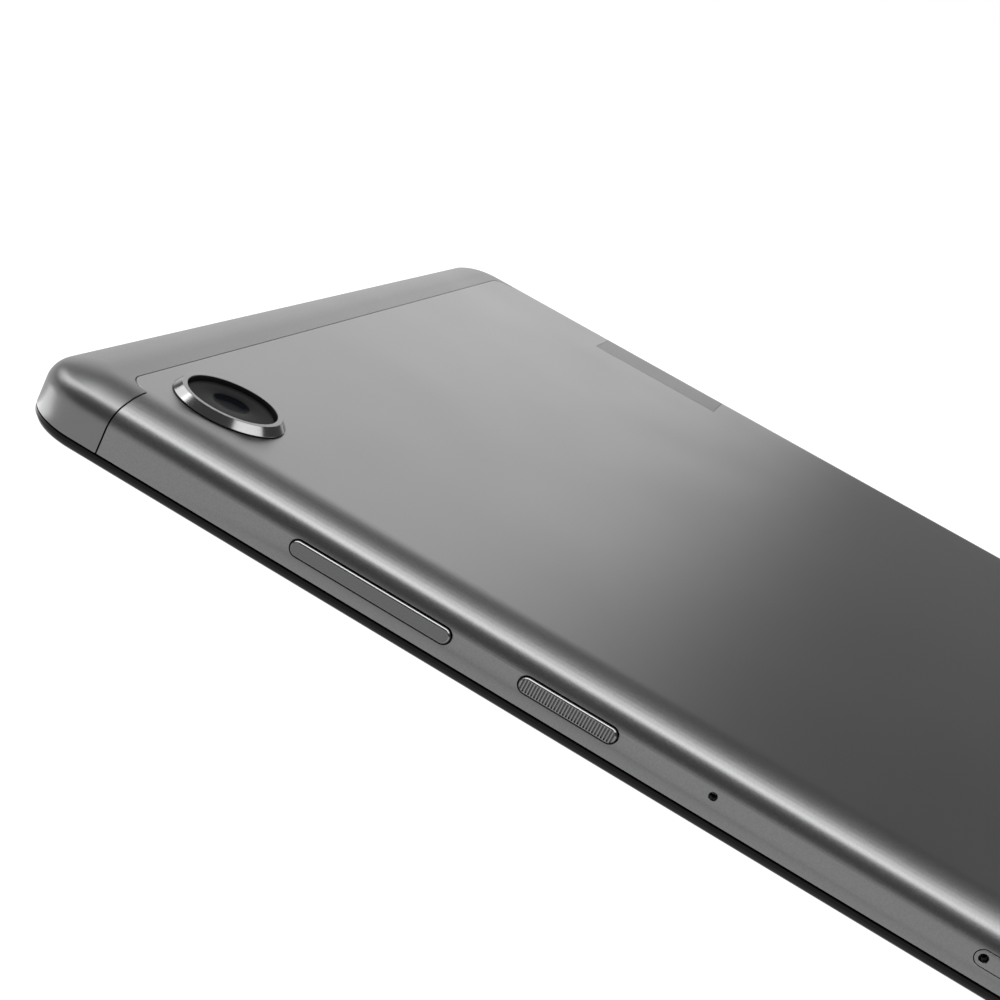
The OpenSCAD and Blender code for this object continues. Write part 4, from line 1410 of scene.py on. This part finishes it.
@dataclass
class DockPort:
    """Four gold contacts in an oval insert on the dock side."""

    form: BodyForm
    level: float = 4.15
    size: Flat = (14.0, 2.4)
    face: float = 0.25
    back: float = 1.95
    pads: int = 4
    pitch: float = 2.8
    pad: float = 0.7
    gap: float = 0.05
    flare: float = 0.12

    def opening(self) -> Workpiece:
        """The cutter for the insert's opening, with a chamfered mouth."""
        flare, grow = self.flare, 2 * (self.gap + self.flare)
        size = (self.size[0] + grow, self.size[1] + grow)
        cutter = Workpiece.plate("dock_opening", size, size[1] / 2, 16)
        cutter.raised([(0.0, PAST), (flare, flare), (0.0, 3.0)])
        return cutter.placed((0, self.form.dock_side(-PAST), self.level), Toward.KEYS)

    def pad_row(self, name: str, pad: Workpiece) -> Workpiece:
        """Sets one pad out four times along the insert.

        Args:
            name: The row's name.
            pad: The pad, made at the origin.

        Returns:
            The row as one piece.
        """
        start = -(self.pads - 1) / 2 * self.pitch
        row = pad.copied(name, (start, 0, 0))
        others = [pad.copied("pad", (start + step * self.pitch, 0, 0)) for step in range(1, self.pads)]
        pad.discard()
        return row.gathered(others)

    def make(self) -> None:
        """Builds the insert and its contacts."""
        deep = self.back - self.face
        insert = Workpiece.plate("dock_insert", self.size, self.size[1] / 2, 16)
        insert.raised([(0.0, deep - 0.1), (0.03, 0.07), (0.07, 0.03)])
        insert.placed((0, self.form.dock_side(self.back), self.level), Toward.DOCK)
        flange = Workpiece.plate("flange", (self.size[0] + 1.6, self.size[1] - 0.2), self.size[1] / 2 - 0.1, 16)
        flange.raised([(0.0, self.back - self.form.wall - 0.25)])
        flange.placed((0, self.form.dock_side(self.back), self.level), Toward.DOCK)
        insert.joined(flange)
        bore = Workpiece.disc("pad_bore", self.pad + 0.09, 32)
        bore.raised([(0.0, PAST), (0.06, 0.06), (0.0, self.back + 1)])
        bore.placed((0, self.form.dock_side(self.face - PAST), self.level), Toward.KEYS)
        insert.cut(self.pad_row("pad_bores", bore))
        plastic = Moulded("dock_insert_plastic", (0.014, 0.014, 0.015), 0.45)
        insert.finished("tablet", plastic, "black_plastic", "dock_housing", angle=35)
        pad = Workpiece.disc("contact", self.pad, 32)
        pad.raised([(0.0, self.back - self.face - 0.1 - 0.12), (0.04, 0.06), (0.12, 0.04), (0.2, 0.02)])
        pad.placed((0, self.form.dock_side(self.back), self.level), Toward.DOCK)
        row = self.pad_row("dock_contact_pads", pad)
        row.finished("tablet", Plated("dock_gold"), "gold", "dock_contacts", angle=25)


@dataclass
class BodyShell:
    """The rear cover and the two end caps, which are one form parted along stepped seams."""

    form: BodyForm
    metal: Finish
    paint: Finish
    badge: Finish
    keys: SideKeys
    camera: CameraEye
    tray: CardTray
    jack: AudioSocket
    usb: UsbSocket
    dock: DockPort
    cap_depth: float = 8.5
    side_depth: float = 11.0
    notch: Flat = (5.88, 3.0)
    seam: float = 0.16
    soft: float = 0.04
    seam_steps: int = 16
    seam_turn: float = 80.0
    speaker: tuple[int, float, float] = (12, 2.0, 0.55)
    speakers: Flat = (42.0, 24.0)
    mic: Flat = (83.8, 0.45)
    badge_place: Flat = (32.2, 5.1)
    badge_size: Flat = (23.8, 10.1)
    badge_depth: float = 0.25
    strip: Point = (-1.7, 4.3, 0.6)
    strip_inset: float = 24.0

    def seam_line(self, grow: float) -> list[Flat]:
        """Works out the seam on one side of an end cap.

        Args:
            grow: How far it is moved away from the end.

        Returns:
            Its points, as distance in from the end and from the long side.
        """
        reach, radius = self.notch
        turn = math.radians(self.seam_turn)
        line = [(self.side_depth + grow, -2.0), (self.side_depth + grow + 0.25, reach + 0.4 * grow)]
        for step in range(self.seam_steps, -1, -1):
            angle = turn * step / self.seam_steps
            line.append((self.cap_depth + radius + grow * (0.4 + 0.0375 * step) - radius * math.cos(angle),
                         reach + 0.15 + radius * (math.sin(turn) - math.sin(angle)) + 0.4 * grow))
        return line

    def cap_zone(self, grow: float) -> Workpiece:
        """The upright block that holds the camera end's cap, with the seam as its inner face."""
        line = self.seam_line(grow)
        form = self.form
        near = [(form.end(deep), form.key_side(side), -1.0) for deep, side in line]
        far = [(form.end(deep), form.dock_side(side), -1.0) for deep, side in reversed(line)]
        outer = [(form.end(-2), form.dock_side(-2), -1.0), (form.end(-2), form.key_side(-2), -1.0)]
        return Workpiece.wire("cap_zone", near + far + outer).filled(form.height + 2)

    def soften_seam(self, cover: Workpiece) -> None:
        """Breaks the cover's outer edge along both seams, where it is sharp from being parted."""
        seam = self.seam_line(self.seam)
        seam.append((seam[-1][0], self.form.width))
        surface = [(0.0, self.form.foot), *self.form.section(0.0), (self.form.width, self.form.height)]

        def on_edge(at: Vector) -> bool:
            """Whether a place lies on the seam and on the outer surface."""
            deep = self.form.length / 2 - abs(at.x) / MM
            side = self.form.width / 2 - abs(at.y) / MM
            return lies_on((deep, side), seam) and lies_on((side, at.z / MM), surface)

        cover.bevelled(lambda here, there: on_edge(here) and on_edge(there), self.soft)

    def badge_block(self, grow: float) -> Workpiece:
        """The block over the badge's place, grown by grow all round."""
        start, side = self.form.end(self.badge_place[0]), self.form.dock_side(self.badge_place[1])
        return Workpiece.block("badge_zone", (start - grow, side - self.badge_size[1] - grow, 6.0),
                               (start + self.badge_size[0] + grow, side + grow, self.form.height + 1))

    def speaker_holes(self, across: float, foot: bool) -> Workpiece:
        """The cutter for a row of speaker holes, each with a small chamfer.

        Args:
            across: Y of the row's middle.
            foot: Whether the row is at the connector end.

        Returns:
            The cutter.
        """
        count, pitch, radius = self.speaker
        hole = Workpiece.disc("hole", radius + 0.07, 24).raised([(0.0, PAST), (0.07, 0.07), (0.0, 1.6)])
        start = across - (count - 1) / 2 * pitch
        end = self.form.length / 2 + PAST
        hole.placed((end if foot else -end, start, self.keys.level + 0.1), Toward.HEAD if foot else Toward.FOOT)
        return hole.repeated(count, (0, pitch, 0))

    def tongue(self, foot: bool) -> Workpiece:
        """The strip under a cap's roof that is bonded to the inside of the cover."""
        low, high = (self.form.end(self.cap_depth + reach) for reach in self.strip[:2])
        if foot:
            low, high = -high, -low
        inside = self.form.height - self.form.wall
        return Workpiece.block("strip", (low, self.form.key_side(self.strip_inset), inside - self.strip[2]),
                               (high, self.form.dock_side(self.strip_inset), inside + OVERLAP))

    def make(self) -> None:
        """Builds the shell once, parts it into the cover and two caps, and opens it for every fitting."""
        form = self.form
        shell = form.solid("rear_cover_shell", 0.0, form.foot)
        shell.cut(form.solid("hollow", form.wall, form.foot - 1))
        head, foot = shell.copied("top_cap_moulding"), shell.copied("bottom_cap_moulding")
        zone = self.cap_zone(0.0)
        head.trimmed(zone, keep=True)
        foot.trimmed(zone.copied("foot_zone", mirrored=True))
        zone.discard()
        zone = self.cap_zone(self.seam)
        shell.cut(zone, keep=True).cut(zone.copied("foot_zone", mirrored=True))
        zone.discard()
        sunk = form.solid("sunk", self.badge_depth, form.foot)
        shell.cut(self.badge_block(0.03).cut(sunk, keep=True))
        shell.cut(self.camera.opening())
        shell.cut(self.keys.slot(self.keys.volume)).cut(self.keys.slot(self.keys.power))
        shell.cut(self.tray.slot()).cut(self.dock.opening())
        self.soften_seam(shell)
        mic = Workpiece.disc("mic_hole", self.mic[1] + 0.05, 32).raised([(0.0, PAST), (0.05, 0.05), (0.0, 2.0)])
        shell.cut(mic.placed((form.end(self.mic[0]), form.key_side(-PAST), self.keys.level), Toward.DOCK))
        shell.finished("tablet", self.metal, "cover_metal", "rear_cover")
        head.joined(self.jack.boss_block()).joined(self.tongue(False))
        head.cut(self.speaker_holes(form.key_side(self.speakers[0]), False)).cut(self.jack.bore())
        head.finished("tablet", self.paint, "cap_plastic", "top_cap")
        foot.joined(self.tongue(True))
        foot.cut(self.speaker_holes(form.dock_side(self.speakers[1]), True)).cut(self.usb.opening())
        foot.finished("tablet", self.paint, "cap_plastic", "bottom_cap")
        plate = self.badge_block(0.0).trimmed(form.solid("badge_limit", 0.0, form.foot)).cut(sunk)
        plate.finished("tablet", self.badge, "badge", "name_plate")


@dataclass
class FrontStack:
    """The cover glass with its rounded edge, and the dark frame that carries it."""

    form: BodyForm
    jack: AudioSocket
    inset: float = 0.35
    glass: float = 0.7
    round: float = 0.6
    round_steps: int = 8
    lip_soft: float = 0.08
    frame_inset: float = 0.05
    frame: Flat = (0.8, 1.25)
    wall_inset: float = 1.05
    wall: float = 1.15
    plate_level: float = 2.9
    border: Flat = (9.8, 4.9)
    border_overlap: float = 0.3
    flex_gaps: tuple[Flat, ...] = ((-9.5, 4.0), (9.5, 3.0))
    front_camera: float = 5.2
    front_holes: tuple[Flat, ...] = ((0.0, 1.7), (10.0, 0.8))
    corner_steps: int = 24

    def outline(self, name: str, inset: float, stages: list[Flat], level: float,
                toward: Toward = Toward.UP) -> Workpiece:
        """A solid with the tablet's outline.

        Args:
            name: The piece's name.
            inset: How far it is taken in.
            stages: How it rises, as for Workpiece.raised.
            level: The height that it starts from.
            toward: Which way it rises.

        Returns:
            The solid.
        """
        size = (self.form.length - 2 * inset, self.form.width - 2 * inset)
        return Workpiece.plate(name, size, self.form.corner - inset, self.corner_steps).raised(stages).placed(
            (0, 0, level), toward)

    def make_glass(self) -> None:
        """The glass, whose lower edge turns under in a quarter round."""
        swings = [math.pi / 2 * step / self.round_steps for step in range(self.round_steps + 1)]
        arc = [(self.round * (1 - math.cos(swing)), self.round * math.sin(swing)) for swing in swings]
        stages = [(0.0, self.glass - self.round), *strides(arc)]
        pane = self.outline("cover_glass_pane", self.inset, stages, self.glass, Toward.DOWN)
        pane.finished("tablet", ScreenGlass("screen_glass"), "cover_glass", "cover_glass")

    def make_frame(self) -> None:
        """The frame's lip and inner wall, open in the middle for the screen."""
        low, high = self.frame
        soft = self.lip_soft
        lip = self.outline("front_frame_rim", self.frame_inset, [
            (0.0, high - low - soft), (soft * 0.3, soft * 0.7), (soft * 0.7, soft * 0.3)], low)
        lip.joined(self.outline("wall", self.wall_inset, [(0.0, self.plate_level - high + 0.1)], high - 0.1))
        lip.cut(self.outline("inside", self.wall_inset + self.wall, [(0.0, 5.0)], high))
        half_x = self.form.length / 2 - self.border[0] + self.border_overlap
        half_y = self.form.width / 2 - self.border[1] + self.border_overlap
        lip.cut(Workpiece.block("window", (-half_x, -half_y, -1), (half_x, half_y, 6)))
        for y, half in self.flex_gaps:
            lip.cut(Workpiece.block("notch", (half_x - 1, y - half, 0),
                                    (self.form.length / 2 - 8.5, y + half, 6)))
        for y, radius in self.front_holes:
            hole = Workpiece.disc("hole", radius, 32).raised([(0.0, 6.0)])
            lip.cut(hole.placed((self.form.end(self.front_camera), y, 0)))
        jack = self.jack.across
        lip.cut(Workpiece.block("gap", (self.form.end(0.3), jack - 3.3, high),
                                (self.form.end(5), jack + 3.3, 6)))
        plastic = Moulded("frame_plastic", (0.006, 0.006, 0.0062), 0.4, gloss=0.11)
        lip.finished("tablet", plastic, "black_plastic", "front_frame", angle=35)

    def make(self) -> None:
        """Builds the glass and the frame."""
        self.make_glass()
        self.make_frame()


@dataclass
class InnerParts:
    """The parts inside the tablet, which keep their own shapes and get their finishes here."""

    uses: tuple[tuple[Finish, tuple[str, ...]], ...] = (
        (Brushed("mid_plate_steel", (0.5, 0.5, 0.51), 0.34), ("mid_plate", "backlight")),
        (Brushed("thin_steel", (0.55, 0.55, 0.54), 0.28, (1.0, 0.06, 1.0)),
         ("key_bracket", "card_reader", "eject_rod", "eject_lever", "shield_cans", "volume_domes", "power_dome",
          "microphone")),
        (Brushed("screw_steel", (0.35, 0.35, 0.36), 0.3, (1.0, 1.0, 0.2)), ("board_screws",)),
        (Brushed("camera_housing_metal", (0.3, 0.3, 0.3), 0.36), ("camera_housing", "focus_barrel")),
        (Moulded("inner_plastic", (0.016, 0.016, 0.017), 0.5),
         ("front_camera", "audio_jack", "top_speaker", "bottom_speaker", "light_sensor")),
        (Moulded("seal_rubber", (0.012, 0.012, 0.012), 0.72, 0.4, 0.01), ("camera_gasket", "microphone_boot")),
        (Moulded("chip_epoxy", (0.022, 0.022, 0.024), 0.46, 0.12, 0.003), ("main_chips", "camera_sensor")),
        (Laminate("flex_film", (0.22, 0.09, 0.02), (0.42, 0.2, 0.06), 0.7),
         ("display_flex", "touch_flex", "camera_flex", "key_flex", "battery_lead", "main_flex", "top_antenna",
          "bottom_antenna", "dock_flex")),
        (Laminate("board_mask"), ("main_board", "sub_board", "battery_board")),
        (Plated("inner_gold"), ("reader_contacts",)),
        (Woven("dust_mesh"), ("speaker_meshes",)),
        (Moulded("graphite_sheet", (0.05, 0.05, 0.055), 0.42, 0.6, 0.01, 0.5), ("heat_spreader",)),
        (Moulded("battery_pouch", (0.16, 0.16, 0.17), 0.4, 1.2, 0.02, 0.7), ("battery_cells",)),
        (Moulded("pull_tape", (0.62, 0.62, 0.6), 0.5, 0.5, 0.01), ("battery_tape",)),
        (Moulded("bond_line", (0.02, 0.02, 0.022), 0.6, 0.4), ("glass_adhesive",)),
        (Moulded("touch_film", (0.04, 0.04, 0.045), 0.2, 0.6, 0.001), ("touch_film",)),
        (Moulded("display_glass", (0.012, 0.012, 0.016), 0.14, 0.4, 0.001), ("display_panel",)),
    )

    def make(self, nodes: dict[str, bpy.types.Object]) -> None:
        """Dresses each part that keeps its shape.

        Args:
            nodes: The frame's parts by name.
        """
        for finish, names in self.uses:
            for name in names:
                part = nodes[name]
                if not part.material_slots:
                    part.data.materials.append(None)
                for place in part.material_slots:
                    place.material = finish.material()
            LOG.info("%s dresses %s", finish.name, ", ".join(names))


# ---- The studio ----


@dataclass
class ViewCamera:
    """The camera, low over the key side near the camera corner, and rolled."""

    place: Point = (-45.58, -232.31, 70.62)
    right: Point = (0.85503, 0.28057, 0.43613)
    forward: Point = (-0.15055, 0.93908, -0.30898)
    lens: float = 60.96

    def make(self) -> None:
        """Adds the camera and makes it the scene's."""
        data = bpy.data.cameras.new("view_camera")
        data.lens, data.sensor_width, data.sensor_fit = self.lens, 36.0, "HORIZONTAL"
        data.clip_start, data.clip_end = 0.005, 60.0
        camera = bpy.data.objects.new("view_camera", data)
        bpy.context.scene.collection.objects.link(camera)
        back = -Vector(self.forward).normalized()
        right = (Vector(self.right) - back * Vector(self.right).dot(back)).normalized()
        turn = Matrix((right, back.cross(right), back)).transposed()
        camera.matrix_world = Matrix.Translation(mm(*self.place)) @ turn.to_4x4()
        bpy.context.scene.camera = camera


@dataclass(frozen=True)
class SoftBox:
    """One soft rectangular light, in metres, with the brightness of its face."""

    name: str
    place: Point
    aim: Point
    size: Flat
    glow: float

    def make(self) -> None:
        """Hangs the light."""
        data = bpy.data.lights.new(self.name, "AREA")
        data.shape, data.size, data.size_y = "RECTANGLE", self.size[0], self.size[1]
        data.energy = self.glow * math.pi * self.size[0] * self.size[1]
        light = bpy.data.objects.new(self.name, data)
        bpy.context.scene.collection.objects.link(light)
        light.location = self.place
        light.rotation_euler = (Vector(self.aim) - Vector(self.place)).to_track_quat("-Z", "Y").to_euler()
        light.visible_camera = False


@dataclass
class Studio:
    """A pale table, two softboxes overhead, two panels on the left, and a small card by the camera corner."""

    lights: tuple[SoftBox, ...] = (
        SoftBox("overhead_softbox", (-0.7, -0.018, 1.0), (-0.7, -0.018, 0.0), (2.1, 0.54), 5.0),
        SoftBox("back_left_panel", (-0.952, 1.894, 1.0), (0.0, 0.0, 2.48), (1.5, 2.1), 1.48),
        SoftBox("left_panel", (-1.88, 0.33, 0.88), (0.0, 0.0, 0.0), (1.0, 0.75), 3.3),
        SoftBox("right_softbox", (0.725, 0.0, 1.0), (0.725, 0.0, 0.0), (0.75, 1.04), 3.4),
        SoftBox("corner_card", (-0.131, -0.0745, 0.0004), (-0.131, -0.0745, 1.0), (0.02, 0.006), 2.85),
    )
    table_glow: float = 1.04
    surround: float = 0.165

    def make_table(self) -> None:
        """The table that the tablet lies on, of evenly lit pale acrylic."""
        Workpiece.clear_bench()
        bpy.ops.mesh.primitive_plane_add(size=24, location=(0, 0, 0))
        table = bpy.context.active_object
        table.name = "pale_table"
        graph = Graph("pale_acrylic")
        cloud = graph.noise(400.0)
        graph.shade(Base_Color=graph.mix(cloud, (0.1, 0.1, 0.1), (0.12, 0.12, 0.12)), Roughness=0.9,
                    Specular_IOR_Level=0.0, Emission_Color=(1.0, 1.0, 1.0), Emission_Strength=self.table_glow)
        table.data.materials.append(graph.material)

    def make_surround(self) -> None:
        """The room: pale near the table's far edge and grey above it."""
        world = bpy.data.worlds.new("studio_surround")
        bpy.context.scene.world = world
        world.use_nodes = True
        tree = world.node_tree
        background = tree.nodes["Background"]
        coordinates = tree.nodes.new("ShaderNodeTexCoord")
        split = tree.nodes.new("ShaderNodeSeparateXYZ")
        blend = tree.nodes.new("ShaderNodeMapRange")
        blend.interpolation_type = "SMOOTHSTEP"
        for key, value in (("From Min", 0.07), ("From Max", 0.16), ("To Min", 1.0), ("To Max", self.surround)):
            blend.inputs[key].default_value = value
        tree.links.new(coordinates.outputs["Generated"], split.inputs[0])
        tree.links.new(split.outputs["Z"], blend.inputs["Value"])
        tree.links.new(blend.outputs["Result"], background.inputs["Strength"])
        background.inputs["Color"].default_value = (1.0, 1.0, 1.0, 1.0)

    def make(self) -> None:
        """Sets up the table, the room and the lights."""
        bpy.context.scene.view_settings.view_transform = "Standard"
        self.make_table()
        self.make_surround()
        for light in self.lights:
            light.make()


def main() -> None:
    """Builds the studio, then the tablet piece by piece."""
    logging.basicConfig(level=logging.INFO, format="%(message)s")
    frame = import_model()
    ViewCamera().make()
    Studio().make()
    form = BodyForm()
    metal = BlastedMetal("cover_metal_blasted")
    paint = BlastedMetal("cap_paint_satin", colour=(0.142, 0.143, 0.144), roughness=0.36, grain=0.3,
                         contrast=0.04, relief=0.0012, edge=0.9)
    badge = BlastedMetal("badge_etched", colour=(0.115, 0.116, 0.117), roughness=0.36, contrast=0.06, edge=0.9)
    keys = SideKeys(form)
    camera = CameraEye(form)
    tray = CardTray(form, metal)
    usb = UsbSocket(form)
    dock = DockPort(form)
    jack = AudioSocket(form)
    BodyShell(form, metal, paint, badge, keys, camera, tray, jack, usb, dock).make()
    camera.make()
    keys.make()
    tray.make()
    FrontStack(form, jack).make()
    usb.make()
    dock.make()
    InnerParts().make(frame["nodes"])


if __name__ == "__main__":
    main()
